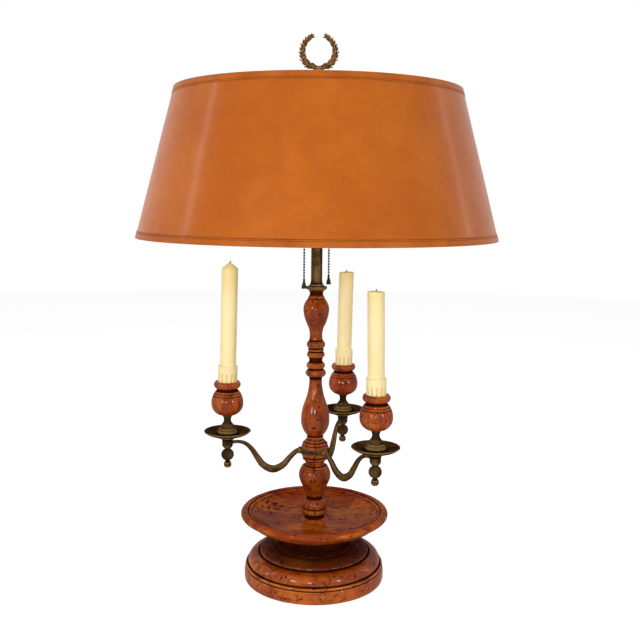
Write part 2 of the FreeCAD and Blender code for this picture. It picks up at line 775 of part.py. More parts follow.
def pull_chain(end):
    """The bead chain, from inside its guide down to the bell."""
    string = bead_string(BELL_TOP, CHAIN_BEADS)
    return swung(string, SOCKET_BEARING[end], GUIDE_REACH)


def chain_bell(end):
    """The fluted bell at the end of a pull chain."""
    bell = turned(
        (0, BELL_BOTTOM),
        (BELL_RADIUS - 0.6, BELL_BOTTOM),
        (BELL_RADIUS, BELL_BOTTOM + 0.8),
        (BELL_RADIUS - 0.2, BELL_BOTTOM + 2.4),
        (1.9, BELL_TOP - 4.4, 1.5, BELL_TOP - 1.4),
        (1.2, BELL_TOP),
        (0, BELL_TOP),
    )
    return swung(bell, SOCKET_BEARING[end], GUIDE_REACH)


def bulb_base(end):
    """The bulb's brass base, a cup closed by its contact."""
    body = turned(
        (0, 50.2), (4.0, 50.2), (6.0, 52.6), (12.0, 54.0), (13.1, 56.0), (13.1, BULB_MOUTH),
        (12.7, BULB_MOUTH), (12.7, 56.2), (11.8, 54.4), (5.8, 53.2), (0, 53.2)
    )
    return laid(body, SOCKET_BEARING[end])


def bulb_form(inset, mouth):
    """A standard pear-shaped bulb: a ball and a neck down to its mouth, taken in by inset."""
    radius = BULB_RADIUS - inset
    bend = math.radians(48.6)
    join = (radius * math.sin(bend), BULB_CENTRE - radius * math.cos(bend))
    neck = turned(
        (0, mouth),
        (13.4 - inset, mouth),
        (15.8 - inset, 92.0, join[0], join[1]),
        (0, join[1]),
    )
    return Part.makeSphere(radius, Vector(0, 0, BULB_CENTRE)).fuse(neck)


def bulb_glass(end):
    """The frosted glass, blown thin, its open neck seated on the base."""
    outside = bulb_form(0, BULB_MOUTH)
    inside = bulb_form(GLASS_THICKNESS, BULB_MOUTH - 1.0)
    return laid(outside.cut(inside), SOCKET_BEARING[end])


# Shade

def shade_radius(height):
    """The shade's outer radius, trim included, at a height."""
    share = (height - SHADE_BOTTOM) / (SHADE_TOP - SHADE_BOTTOM)
    return SHADE_BOTTOM_RADIUS + share * (SHADE_TOP_RADIUS - SHADE_BOTTOM_RADIUS)


def shade_skin():
    low = SHADE_BOTTOM + TRIM_THICKNESS
    high = SHADE_TOP - TRIM_THICKNESS
    outer = TRIM_THICKNESS
    inner = TRIM_THICKNESS + SKIN_THICKNESS
    return turned(
        (shade_radius(low) - inner, low),
        (shade_radius(low) - outer, low),
        (shade_radius(high) - outer, high),
        (shade_radius(high) - inner, high),
    )


def trim(edge, inward):
    """The leather tape folded over one edge of the skin and its wire. inward is +1 at the
    bottom edge and -1 at the top one."""
    skin = TRIM_THICKNESS + SKIN_THICKNESS
    back = skin + RING_SLOT
    lap = edge + inward * TRIM_WIDTH
    fold = edge + inward * TRIM_THICKNESS
    over_wire = fold + inward * (2 * RING_RADIUS + 0.4)
    inside_lap = edge + inward * TRIM_WIDTH * 0.7
    return turned(
        (shade_radius(lap) - TRIM_THICKNESS, lap),
        (shade_radius(lap), lap),
        (shade_radius(fold), fold),
        (shade_radius(edge) - TRIM_THICKNESS, edge),
        (shade_radius(edge) - back, edge),
        (shade_radius(fold) - back - TRIM_THICKNESS, fold),
        (shade_radius(over_wire) - back - TRIM_THICKNESS, over_wire),
        (shade_radius(inside_lap) - skin - TRIM_THICKNESS, inside_lap),
        (shade_radius(inside_lap) - skin, inside_lap),
        (shade_radius(over_wire + inward * 1.6) - skin, over_wire + inward * 1.6),
        (shade_radius(over_wire) - back, over_wire),
        (shade_radius(fold) - back, fold),
        (shade_radius(fold) - TRIM_THICKNESS, fold),
    )


def shade_trim():
    """Both tapes. The top one is notched round the spokes."""
    tapes = [trim(edge, way) for edge, way in SHADE_EDGES]
    tapes[1] = tapes[1].cut(spokes(SPOKE_RADIUS + 0.2))
    return Part.makeCompound(tapes)


def ring_place(edge, inward):
    """Radius and height of a frame wire, tucked in the fold of the trim."""
    height = edge + inward * (TRIM_THICKNESS + RING_RADIUS + 0.1)
    return shade_radius(height) - TRIM_THICKNESS - SKIN_THICKNESS - RING_SLOT / 2, height


def wire_ring(edge, inward):
    radius, height = ring_place(edge, inward)
    return Part.makeTorus(radius, RING_RADIUS, Vector(0, 0, height))


def shade_rings():
    """The two wire rings that the skin is laced round, hidden in the trim's folds."""
    return Part.makeCompound([wire_ring(edge, way) for edge, way in SHADE_EDGES])


def spokes(thickness):
    """Three round spokes from the washer's rim up to the top wire ring."""
    radius, height = ring_place(SHADE_TOP, -1)
    start = Vector(HUB_RADIUS - 3.0, 0, HUB_HEIGHT + HUB_THICKNESS / 2)
    reach = Vector(radius, 0, height) - start
    spoke = Part.makeCylinder(thickness, reach.Length, start, reach)
    return [swung(spoke, 30.0 + 120.0 * k) for k in range(3)]


def shade_spider():
    """The spokes, welded to the top ring, and the bossed washer on the rod's seat."""
    hub = rod(HUB_RADIUS, HUB_HEIGHT, HUB_HEIGHT + HUB_THICKNESS)
    boss = rod(HUB_BOSS_RADIUS, HUB_HEIGHT, HUB_BOSS_TOP)
    hub = hub.fuse([boss] + spokes(SPOKE_RADIUS)).cut(wire_ring(SHADE_TOP, -1))
    return hub.cut(rod(ROD_RADIUS + 0.2, HUB_HEIGHT - 1.0, HUB_BOSS_TOP + 1.0)).removeSplitter()


def shade_rod():
    """The threaded rod from the cluster to the finial, with the seat for the shade."""
    return turned(
        (0, CLUSTER_TOP - ROD_ENTRY),
        (ROD_RADIUS, CLUSTER_TOP - ROD_ENTRY),
        (ROD_RADIUS, HUB_HEIGHT - 6.0),
        (5.0, HUB_HEIGHT - 5.0),
        (7.4, HUB_HEIGHT - 2.0, ROD_SEAT_RADIUS, HUB_HEIGHT - 0.1),
        (ROD_RADIUS, HUB_HEIGHT - 0.1),
        (ROD_RADIUS, ROD_TOP),
        (0, ROD_TOP),
    )


# Finial

def finial_base():
    """The turned brass foot of the finial, bored for the rod."""
    bore = ROD_RADIUS + 0.06
    return turned(
        (bore, FINIAL_SEAT),
        (FINIAL_FOOT_RADIUS, FINIAL_SEAT),
        (FINIAL_FOOT_RADIUS + 0.8, FINIAL_SEAT + 1.1, FINIAL_FOOT_RADIUS, FINIAL_SEAT + 2.3),
        (5.4, 688.5, 4.8, 690.8),
        (8.2, 697.2, 4.8, 703.6),
        (3.8, 706.6, 5.2, 709.0),
        (8.6, 711.6, 8.4, 714.0),
        (6.0, WREATH_FOOT),
        (0, WREATH_FOOT),
        (0, ROD_TOP + 0.5),
        (bore, ROD_TOP + 0.5),
    )


def leaf(length, half_width, half_thickness):
    """A pointed leaf along +X with a raised midrib on both faces, as eight flat facets."""
    base = Vector(-0.16 * length, 0, 0)
    tip = Vector(0.84 * length, 0, 0)
    sides = [Vector(0.26 * length, s * half_width, 0) for s in (1, -1)]
    ribs = [Vector(0.2 * length, 0, s * half_thickness) for s in (1, -1)]
    faces = []
    for end in (base, tip):
        for side in sides:
            for rib in ribs:
                faces.append(Part.Face(Part.makePolygon([end, side, rib, end])))
    solid = Part.Solid(Part.makeShell(faces))
    if solid.Volume < 0:
        solid.reverse()
    return solid


def wreath_branch(way):
    """One laurel branch: a round stalk and rows of four overlapping leaves. way is +1 for
    the branch on the +X side and -1 for the other."""
    circle = Part.Face(Part.Wire(Part.makeCircle(
        WREATH_CORE, Vector(0, 0, -WREATH_RADIUS), Vector(1, 0, 0))))
    stalk = circle.revolve(Vector(), Vector(0, -way, 0), BRANCH_SPAN)
    pieces = []
    for row in range(LEAF_ROWS):
        share = (row + 0.5) / LEAF_ROWS
        turn = math.radians(BRANCH_START + share * (BRANCH_SPAN - 10.0))
        size = 1.0 - 0.25 * share * share
        middle = Vector(way * WREATH_RADIUS * math.sin(turn), 0, -WREATH_RADIUS * math.cos(turn))
        heading = math.degrees(math.atan2(math.sin(turn), way * math.cos(turn)))
        for spread, roll in LEAF_SPREADS:
            blade = leaf(LEAF_LENGTH * size, LEAF_HALF_WIDTH * size, LEAF_HALF_THICKNESS)
            blade.rotate(Vector(), Vector(1, 0, 0), 90.0)
            blade.rotate(Vector(), Vector(0, 1, 0), spread)
            blade.translate(Vector(0, 0, -math.copysign(WREATH_CORE * 0.7, spread)))
            blade.rotate(Vector(), Vector(1, 0, 0), roll)
            blade.rotate(Vector(), Vector(0, 1, 0), -heading)
            blade.translate(middle)
            pieces.append(blade)
    return stalk, pieces


def finial_wreath():
    """The open laurel wreath, its two branches tied at the foot."""
    solids = []
    for way in (1, -1):
        stalk, blades = wreath_branch(way)
        solids.append(stalk)
        solids += blades
    tie_end = Vector(-TIE_LENGTH / 2, 0, -WREATH_RADIUS)
    tie = Part.makeCylinder(TIE_RADIUS, TIE_LENGTH, tie_end, Vector(1, 0, 0))
    foot = Part.makeCylinder(4.2, 4.2, Vector(0, 0, WREATH_FOOT - WREATH_CENTRE))
    body = tie.fuse([foot] + solids)
    body.translate(Vector(0, 0, WREATH_CENTRE))
    below = rod(40.0, WREATH_FOOT - 30.0, WREATH_FOOT)
    return body.cut(below)


def build():
    single = (
        felt_pad, base_plinth, cord_bushing, base_nut_and_washer, lamp_pipe, dish_neck, drip_dish,
        lower_knop, arm_knop, stem_baluster, stem_cap, tube_collar, riser_tube, arm_band,
        cluster_body, shade_skin, shade_trim, shade_rings, shade_spider, shade_rod,
        finial_base, finial_wreath,
    )
    for make in single:
        save(make.__name__, make())
    for side in SIDES:
        for make in (arm, drip_pan, pan_drop, cup_pedestal, candle_cup, candle):
            save(side + "_" + make.__name__, make(side))
    for end in ENDS:
        for make in (socket_cap, socket_shell, socket_core, screw_shell, chain_guide,
                     pull_chain, chain_bell, bulb_base, bulb_glass):
            save(end + "_" + make.__name__, make(end))


build()
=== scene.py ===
"""Bouillotte lamp: the finish of every piece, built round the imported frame.

Outlines are in millimetres, as a turner would write them. Everything handed to
Blender is in metres, in the frame's own axes: +Z up, the front of the lamp at -Y.
"""
import math
import random

import bpy
import numpy as np
from bpy.props import FloatProperty, FloatVectorProperty, IntProperty, PointerProperty
from mathutils import Euler, Matrix, Vector, noise


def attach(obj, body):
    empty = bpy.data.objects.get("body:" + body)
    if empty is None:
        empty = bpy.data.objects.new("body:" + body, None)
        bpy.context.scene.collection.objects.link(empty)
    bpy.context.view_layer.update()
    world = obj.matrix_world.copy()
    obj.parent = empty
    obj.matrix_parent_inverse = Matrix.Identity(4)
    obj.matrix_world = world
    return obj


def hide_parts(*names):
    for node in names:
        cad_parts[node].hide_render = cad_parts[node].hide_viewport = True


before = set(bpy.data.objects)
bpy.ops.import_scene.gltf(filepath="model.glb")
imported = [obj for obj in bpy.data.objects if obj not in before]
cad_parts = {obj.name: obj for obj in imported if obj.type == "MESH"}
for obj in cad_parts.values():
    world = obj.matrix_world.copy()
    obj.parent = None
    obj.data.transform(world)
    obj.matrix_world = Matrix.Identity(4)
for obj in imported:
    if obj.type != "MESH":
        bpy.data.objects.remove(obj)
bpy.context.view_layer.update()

bl_info = {
    "name": "Bouillotte Lamp",
    "version": (1, 0, 0),
    "blender": (4, 5, 0),
    "location": "3D View > Sidebar > Lamp",
    "description": "Dresses a three-arm bouillotte lamp: wood, brass, candles, chains and shade",
    "category": "Object",
}

MM = 0.001
HOLLOW_GAIN = 3.0
SIDES = ("left", "right", "rear")
ENDS = ("front", "rear")

# Places and sizes as in the frame, in millimetres and degrees. CANDLE_LEAN is how far and
# towards where, CANDLE_TIP how far a top stands over its shoulder, and CANDLE_SLOPE the rise
# of a worn top across its width. The PAPER values are insets from the shade's outline.
ARM_REACH = 124.4
ARM_BEARING = {"left": 190.15, "right": -49.85, "rear": 70.15}
BAND_OUTER = 20.0
BAND_HEIGHT = 188.4
SOCKET_BEARING = {"front": 242.0, "rear": 62.0}
GUIDE_REACH = 36.0
CANDLE_FOOT = 268.9
CANDLE_LEAN = {"left": (1.4, 10.0), "right": (1.2, 180.0), "rear": (0.9, 0.0)}
CANDLE_TOP = {"left": 448.0, "right": 426.0, "rear": 433.0}
CANDLE_TIP = {"left": 8.0, "right": 0.8, "rear": 1.2}
CANDLE_SLOPE = {"left": 0.0, "right": -0.045, "rear": 0.055}
CANDLE_SEED = {"left": 101, "right": 105, "rear": 101}
WAX_COLLAR_TOP = 313.0
WAX_COLLAR_RADIUS = 13.4
WAX_SHAFT_RADIUS = 11.2
WAX_TAPER_TOP = 288.0
WAX_TAPER = 3.6
FLUTES = 12
FLUTE_TOP = 303.0
FLUTE_DEPTH = 1.5
SHADE_BOTTOM = 489.1
SHADE_TOP = 687.6
SHADE_BOTTOM_RADIUS = 246.4
SHADE_TOP_RADIUS = 193.4
BELL_BOTTOM = 422.2
BELL_TOP = 434.2
WREATH_CENTRE = 738.4
WREATH_FOOT = 716.5
WREATH_TOP = 762.4
TAPE_WIDTH = 10.0
PAPER_EDGE = 0.7
PAPER_OUTSIDE = 0.6
PAPER_INSIDE = 1.5
LEAF_LENGTH = 10.2
LEAF_WIDTH = 3.9
LEAF_LEAN = 23.0

# Outlines of the turned pieces: a pair is a line to (radius, height), four numbers are an
# arc through the first pair to the second. Each starts and ends on the axis or at its bore.
PLINTH = (
    (56.0, 1.0), (97.9, 0.7), (99.5, 1.4, 99.9, 3.5), (100.2, 11.0, 99.2, 18.0), (97.5, 19.4),
    (98.9, 21.2, 96.3, 23.2), (94.7, 23.6), (91.9, 34.0, 80.9, 38.8), (78.1, 39.4), (77.9, 41.0),
    (73.3, 47.0, 61.4, 49.4), (58.4, 49.6), (57.9, 51.0), (49.0, 51.0),
)
NECK = (
    (49.0, 51.0), (52.0, 51.0), (53.2, 52.4, 52.0, 53.8), (50.6, 54.2), (44.0, 63.0, 50.0, 73.0),
    (54.0, 73.6), (54.0, 76.0), (0.0, 76.0),
)
DISH = (
    (50.0, 76.1), (60.0, 76.0), (84.0, 79.0, 98.0, 90.6), (103.0, 92.0),
    (105.4, 96.4, 102.8, 100.0), (99.4, 101.2, 95.8, 100.0), (94.4, 98.7),
    (93.0, 99.5, 91.4, 98.3), (90.6, 97.0), (76.0, 89.0, 50.0, 86.1), (24.0, 85.9),
    (18.8, 86.5, 16.6, 88.4), (14.0, 88.6),
)
LOWER_KNOP = (
    (10.0, 88.1), (15.2, 88.1), (13.6, 91.4, 15.6, 95.0), (18.9, 98.4, 17.4, 102.4), (16.4, 102.8),
    (15.4, 110.0, 12.4, 115.8), (11.2, 118.4, 12.2, 122.4), (15.8, 131.0, 20.3, 142.0),
    (22.7, 150.4, 20.9, 160.0), (19.6, 162.4), (18.5, 163.4), (18.7, 164.2),
    (17.8, 165.4, 16.2, 165.9), (14.4, 166.2), (13.0, 168.4, 11.0, 169.0), (6.0, 169.0),
)
ARM_KNOP = (
    (6.0, 169.0), (11.0, 169.0), (13.9, 170.8, 13.9, 173.6), (17.2, 175.0, 17.0, 178.4),
    (18.9, 180.4, 19.3, 184.2), (18.6, 184.3), (18.6, 192.5), (19.3, 192.6),
    (18.9, 194.6, 17.8, 196.4), (17.4, 199.4, 15.0, 200.2), (14.2, 202.8, 10.6, 203.2),
    (10.2, 204.4), (6.0, 204.4),
)
BALUSTER = (
    (6.0, 204.4), (10.2, 204.4), (12.0, 206.8, 10.9, 209.4), (17.9, 219.8, 20.2, 232.0),
    (18.4, 248.4, 15.0, 259.0), (11.0, 272.0, 9.0, 286.0), (9.0, 292.6), (10.2, 294.8),
    (14.5, 300.0, 10.8, 305.3), (10.6, 306.4), (13.1, 310.8, 10.2, 315.2),
    (9.4, 318.8, 10.3, 322.2),
    (12.6, 326.4, 10.6, 330.2), (9.9, 330.8), (11.3, 332.8, 9.9, 334.8), (10.2, 335.4),
    (13.0, 340.6, 9.9, 345.8), (8.9, 354.0, 11.4, 366.2), (16.2, 378.4, 18.0, 388.4),
    (16.7, 397.4, 12.0, 405.0), (11.1, 405.6), (11.8, 406.8, 11.1, 408.0),
    (9.3, 411.4, 12.8, 418.0),
    (5.5, 418.0),
)
STEM_CAP = (
    (5.2, 418.0), (12.6, 418.0), (13.8, 418.6, 14.5, 420.4), (14.6, 421.8, 13.6, 422.4),
    (12.4, 421.4, 10.4, 420.8), (5.2, 420.8),
)
TUBE_COLLAR = (
    (7.9, 420.8), (8.9, 420.8), (8.5, 422.2), (10.0, 423.6, 9.9, 425.2), (8.9, 426.0, 8.4, 428.4),
    (7.9, 428.4),
)
TUBE = ((7.0, 420.8), (7.8, 420.8), (7.8, 552.0), (7.0, 552.0))
ARM_BAND = (
    (18.7, 184.25), (19.3, 184.25), (19.5, 184.5), (19.55, 185.2), (19.95, 185.6),
    (20.0, 188.4, 19.95, 191.2), (19.55, 191.6), (19.5, 192.3), (19.3, 192.55), (18.7, 192.55),
)
ARM_BOSS = (
    (0.0, 196.0), (5.2, 196.0), (7.4, 199.0), (7.6, 205.6), (9.4, 209.8, 14.2, 211.6),
    (14.8, 213.0, 14.2, 214.6), (0.0, 214.6),
)
PAN = (
    (3.0, 214.6), (15.0, 214.8), (25.0, 215.6, 31.9, 219.7), (32.5, 220.5, 31.6, 221.2),
    (24.0, 217.6, 15.2, 217.0), (13.8, 217.4), (13.4, 220.6, 10.0, 222.0), (3.0, 222.0),
)
PAN_DROP = (
    (0.0, 167.6), (1.4, 167.6), (4.6, 169.2, 5.2, 172.8), (4.6, 175.6, 3.3, 176.6), (3.3, 178.0),
    (3.6, 178.6), (8.9, 186.6, 3.6, 194.4), (4.8, 196.0), (0.0, 196.0),
)
PEDESTAL = (
    (3.0, 222.0), (10.6, 222.0), (11.9, 223.8, 10.6, 225.6), (9.8, 227.0, 8.6, 229.6),
    (5.0, 237.0, 7.8, 243.2), (0.0, 243.2),
)
CUP = (
    (0.0, 243.3), (8.0, 243.3), (19.4, 250.4, 22.2, 261.0), (21.6, 266.6, 20.2, 270.6),
    (19.4, 271.3),
    (19.8, 272.2), (19.0, 274.0), (17.5, 274.9), (17.6, 275.8), (16.6, 277.2, 15.2, 278.2),
    (14.4, 279.8, 15.0, 281.4), (18.6, 286.6, 16.4, 291.2), (14.4, 291.2), (12.8, 279.0),
    (10.8, 268.5), (0.0, 268.5),
)
FINIAL_BASE = (
    (3.2, 685.1), (8.4, 685.1), (9.2, 686.2, 8.4, 687.4), (5.4, 688.5, 4.8, 690.8),
    (8.2, 697.2, 4.8, 703.6), (3.8, 706.6, 5.2, 709.0), (8.6, 711.6, 8.4, 714.0),
    (6.0, 716.5), (0.0, 716.5),
)
WREATH_POST = (
    (0.0, WREATH_FOOT), (4.2, WREATH_FOOT), (3.6, WREATH_FOOT + 1.4), (0.0, WREATH_FOOT + 1.6),
)

# Outlines turned about their own axis at the origin, and laid level afterwards
KNUCKLE = (
    (0.0, 0.0), (4.9, 0.0), (4.9, 2.4), (5.1, 3.4, 4.4, 4.6), (3.2, 5.2), (0.0, 5.6),
)
WREATH_TIE = (
    (0.0, -3.6), (3.4, -3.6), (3.9, -2.9, 3.5, -2.2), (3.1, -1.8), (3.6, 0.0, 3.1, 1.8),
    (3.5, 2.2), (3.9, 2.9, 3.4, 3.6), (0.0, 3.6),
)

# Rings of the chain's bell: radius, and height over its lip; from its top down and up inside
BELL = (
    (1.2, 12.0), (1.6, 11.7), (1.75, 11.2), (1.45, 10.6), (1.5, 9.6), (1.8, 8.4), (2.3, 6.8),
    (2.8, 5.0), (3.15, 3.2), (3.3, 1.9), (3.5, 1.0), (3.45, 0.4), (3.1, 0.0), (2.7, 0.3),
    (2.3, 2.0), (1.0, 7.0),
)

# Rings of a wick: shift to one side, height over its foot, radius
WICK = ((0.0, 0.0, 0.95), (0.1, 1.2, 0.95), (0.3, 2.2, 0.9), (0.6, 2.9, 0.75), (0.9, 3.3, 0.45))

# A laurel leaf: its rings as shares of the length, and each ring's points as a share of the
# half width and a height in millimetres
LEAF_STATIONS = (0.0, 0.22, 0.45, 0.68, 0.88, 1.0)
LEAF_SECTION = (
    (-1.0, 0.0), (-0.5, 0.45), (0.0, 0.95), (0.5, 0.45), (1.0, 0.0), (0.0, -0.5),
)

# Stations along the middle of an arm: radius, height, depth and width of the bar there
ARM_STATIONS = (
    (19.0, 187.8, 6.8, 6.2), (26.0, 187.6, 7.2, 6.4), (36.0, 178.8, 8.0, 7.4),
    (46.0, 167.8, 9.6, 8.8), (60.0, 162.2, 10.8, 9.8), (74.0, 169.0, 9.8, 9.0),
    (83.0, 181.4, 8.4, 7.8), (91.0, 193.6, 7.0, 6.6), (99.5, 201.4, 5.8, 5.6),
    (109.0, 204.2, 5.0, 5.0), (119.0, 203.8, 5.0, 5.0),
)

# Deep old scars: piece, bearing in degrees, radius, height, length, width, depth, and the
# slant of the long way in degrees
SCARS = (
    ("dish", 146.0, 86.0, 90.5, 15.0, 2.6, 1.5, 12.0),
    ("dish", 139.0, 78.0, 88.6, 12.0, 3.2, 1.5, -24.0),
    ("dish", 153.0, 76.0, 88.4, 14.0, 2.6, 1.3, 20.0),
    ("dish", 147.0, 66.0, 87.2, 16.0, 2.8, 1.3, -8.0),
    ("dish", 157.0, 84.0, 90.0, 9.0, 2.4, 1.2, 60.0),
    ("dish", 136.0, 68.0, 87.4, 10.0, 2.2, 1.2, 40.0),
    ("dish", 161.0, 68.0, 87.2, 12.0, 2.4, 1.1, -30.0),
    ("dish", 10.0, 88.0, 92.0, 9.0, 2.2, 1.2, 70.0),
    ("dish", 4.0, 82.0, 89.6, 7.0, 1.8, 1.0, 30.0),
    ("dish", 24.0, 58.0, 86.2, 6.0, 1.4, 0.9, 10.0),
    ("dish", -62.0, 104.0, 96.0, 6.0, 1.4, 0.9, 20.0),
    ("dish", -105.0, 102.0, 99.6, 6.0, 1.5, 0.9, 60.0),
    ("dish", -40.0, 98.0, 100.6, 5.0, 1.5, 0.9, 20.0),
    ("plinth", -118.0, 89.0, 30.0, 15.0, 1.5, 1.2, 62.0),
    ("plinth", -114.0, 88.0, 31.0, 12.0, 1.3, 1.0, 105.0),
    ("plinth", -152.0, 86.0, 33.0, 7.0, 1.6, 1.2, 30.0),
    ("plinth", -88.0, 96.0, 24.0, 13.0, 1.4, 1.0, 22.0),
    ("plinth", -80.0, 94.0, 27.0, 9.0, 1.3, 0.9, -30.0),
    ("plinth", -56.0, 97.0, 21.0, 11.0, 1.5, 1.0, 34.0),
    ("plinth", -100.0, 99.9, 9.0, 8.0, 1.5, 1.1, 12.0),
    ("plinth", -112.0, 99.9, 6.0, 7.0, 1.6, 1.1, -10.0),
    ("plinth", -140.0, 99.9, 12.0, 6.0, 1.4, 0.9, 24.0),
    ("plinth", -126.0, 74.0, 43.5, 10.0, 1.4, 0.9, 70.0),
    ("plinth", -60.0, 76.0, 42.5, 8.0, 1.4, 0.9, 60.0),
    ("lower knop", -88.0, 22.0, 148.0, 9.0, 1.2, 0.9, 82.0),
    ("lower knop", -70.0, 21.0, 141.0, 5.0, 1.4, 1.0, 40.0),
    ("lower knop", -115.0, 18.0, 133.0, 5.0, 1.4, 1.0, 70.0),
    ("baluster", -78.0, 20.0, 236.0, 6.0, 1.5, 1.0, 20.0),
    ("baluster", -100.0, 19.0, 222.0, 5.0, 1.5, 1.0, 60.0),
    ("baluster", -74.0, 17.6, 384.0, 6.0, 1.4, 1.0, 60.0),
    ("baluster", -104.0, 17.6, 376.0, 4.0, 1.3, 0.9, 20.0),
    ("baluster", -95.0, 9.2, 290.0, 5.0, 1.2, 0.7, 30.0),
    ("baluster", -84.0, 12.0, 262.0, 6.0, 1.2, 0.8, 80.0),
)


# Outlines and turned meshes

def arc(a, through, b, step):
    """Points on the arc from a through a middle point to b, without a itself."""
    (ax, ay), (mx, my), (bx, by) = a, through, b
    d = 2 * (ax * (my - by) + mx * (by - ay) + bx * (ay - my))
    if abs(d) < 1e-9:
        return [b]
    a2, m2, b2 = ax * ax + ay * ay, mx * mx + my * my, bx * bx + by * by
    cx = (a2 * (my - by) + m2 * (by - ay) + b2 * (ay - my)) / d
    cy = (a2 * (bx - mx) + m2 * (ax - bx) + b2 * (mx - ax)) / d
    radius = math.hypot(ax - cx, ay - cy)
    first = math.atan2(ay - cy, ax - cx)
    middle = (math.atan2(my - cy, mx - cx) - first) % (2 * math.pi)
    sweep = (math.atan2(by - cy, bx - cx) - first) % (2 * math.pi)
    if middle > sweep:
        sweep -= 2 * math.pi
    count = max(5, math.ceil(abs(sweep) * radius / step))
    angles = [first + sweep * k / count for k in range(1, count + 1)]
    return [(cx + radius * math.cos(t), cy + radius * math.sin(t)) for t in angles]


def sampled(shape, step):
    """The outline as close points, so that wear has something to bite on."""
    points = [shape[0]]
    for move in shape[1:]:
        here, end = points[-1], move[-2:]
        if len(move) == 4:
            points += arc(here, move[:2], end, step)
        else:
            count = max(1, math.ceil(math.dist(here, end) / (2.5 * step)))
            across, up = end[0] - here[0], end[1] - here[1]
            points += [
                (here[0] + across * k / count, here[1] + up * k / count)
                for k in range(1, count + 1)
            ]
    return points


def hollows(points, reach=5.0, way=1.0):
    """How far each point of an outline lies in a hollow between its neighbours, 0 to 1, or
    with way -1 how far it stands proud of them. Neighbours are within reach along it."""
    p = np.array(points)
    along = np.gradient(p, axis=0)
    out = np.stack([along[:, 1], -along[:, 0]], 1)
    out /= np.maximum(np.linalg.norm(out, axis=1, keepdims=True), 1e-9)
    travel = np.concatenate([[0.0], np.cumsum(np.linalg.norm(np.diff(p, axis=0), axis=1))])
    depth = np.zeros(len(p))
    for k in range(len(p)):
        gap = p - p[k]
        far = np.linalg.norm(gap, axis=1)
        near = (far > 0.05) & (np.abs(travel - travel[k]) < reach)
        if near.any():
            lift = way * (gap[near] @ out[k]) / far[near]
            depth[k] = max(0.0, float(np.mean(np.clip(lift, -0.2, 1.0))))
    return np.clip(depth * HOLLOW_GAIN, 0.0, 1.0)


def around(count):
    """The bearings of points spaced evenly round a circle, in radians."""
    return [2 * math.pi * k / count for k in range(count)]


def rise(value, low, high):
    """0 up to low, 1 from high on, and even between."""
    return min(1.0, max(0.0, (value - low) / (high - low)))


def wall(rows, count, back=False, closed=False):
    """Faces between rings of count points. back turns them over, and closed joins the last
    ring to the first."""
    faces = []
    for row in range(rows if closed else rows - 1):
        low, high = row * count, (row + 1) % rows * count
        for k in range(count):
            n = (k + 1) % count
            if back:
                faces.append([low + k, high + k, high + n, low + n])
            else:
                faces.append([low + k, low + n, high + n, high + k])
    return faces


def ends(rows, count, back=False):
    """The faces that close the first ring and the last."""
    first = list(range(count))
    last = list(range((rows - 1) * count, rows * count))
    return [first, last[::-1]] if back else [first[::-1], last]


def added(name, data):
    """A new object at the scene's origin."""
    piece = bpy.data.objects.new(name, data)
    bpy.context.scene.collection.objects.link(piece)
    return piece


def smoothed(mesh, crease):
    """Shades a mesh smooth, but for the edges that bend by more than crease degrees."""
    mesh.shade_smooth()
    mesh.set_sharp_from_angle(angle=math.radians(crease))


def object_from(name, vertices, faces):
    """A smooth mesh object at the origin, with its creases marked sharp."""
    mesh = bpy.data.meshes.new(name)
    mesh.from_pydata(vertices, [], faces)
    mesh.update()
    smoothed(mesh, crease=38)
    return added(name, mesh)


def write_attribute(piece, name, values=None):
    """One number for each vertex, for the finishes to read: 0 where none are given."""
    layer = piece.data.attributes.new(name, "FLOAT", "POINT")
    if values is not None:
        layer.data.foreach_set("value", np.asarray(values, np.float32))


def lathe(name, shape, segments, step=0.9, centre=(0.0, 0.0), painted_shade=None):
    """A turning about an upright axis at centre, in metres. Its attribute "hollow" tells the
    shader where it is darker: stain and patina in the hollows, and painted shade of at least
    painted_shade(height, share of the outline). "crest" tells it where it is lightened, for
    wear and a painted highlight on the edges."""
    points = sampled(shape, step)
    depth = hollows(points)
    proud = hollows(points, reach=3.0, way=-1.0)
    # Painted shade: each point is at least as dark as painted_shade gives.
    if painted_shade:
        least = [painted_shade(point[1], k / len(points)) for k, point in enumerate(points)]
        depth = np.maximum(depth, least)
    vertices, rings, darkened, rub_and_highlight = [], [], [], []
    for (radius, height), value, crest in zip(points, depth, proud):
        count = 1 if radius < 1e-6 else segments
        rings.append(range(len(vertices), len(vertices) + count))
        for turn in around(count):
            vertices.append((
                centre[0] + radius * MM * math.cos(turn),
                centre[1] + radius * MM * math.sin(turn),
                height * MM,
            ))
        darkened += [value] * count
        rub_and_highlight += [crest] * count
    pairs = list(zip(rings, rings[1:]))
    if len(rings[0]) > 1 and len(rings[-1]) > 1:
        pairs.append((rings[-1], rings[0]))
    faces = []
    for low, high in pairs:
        for k in range(segments):
            n = (k + 1) % segments
            corners = [
                low[k % len(low)], low[n % len(low)], high[n % len(high)], high[k % len(high)],
            ]
            unique = list(dict.fromkeys(corners))
            if len(unique) > 2:
                faces.append(unique)
    piece = object_from(name, vertices, faces)
    write_attribute(piece, "hollow", darkened)
    write_attribute(piece, "crest", rub_and_highlight)
    return piece


def arm_axis(side):
    """Where the axis of an arm's candle stands, in metres."""
    bearing = math.radians(ARM_BEARING[side])
    return ARM_REACH * MM * math.cos(bearing), ARM_REACH * MM * math.sin(bearing)


def vertex_arrays(mesh):
    """The places and the normals of a mesh's vertices, one row for each."""
    arrays = []
    for key in ("co", "normal"):
        values = np.empty(len(mesh.vertices) * 3)
        mesh.vertices.foreach_get(key, values)
        arrays.append(values.reshape(-1, 3))
    return arrays


def nearest(place, point):
    """The number of the vertex nearest to a point."""
    return np.argmin(((place - point) ** 2).sum(1))


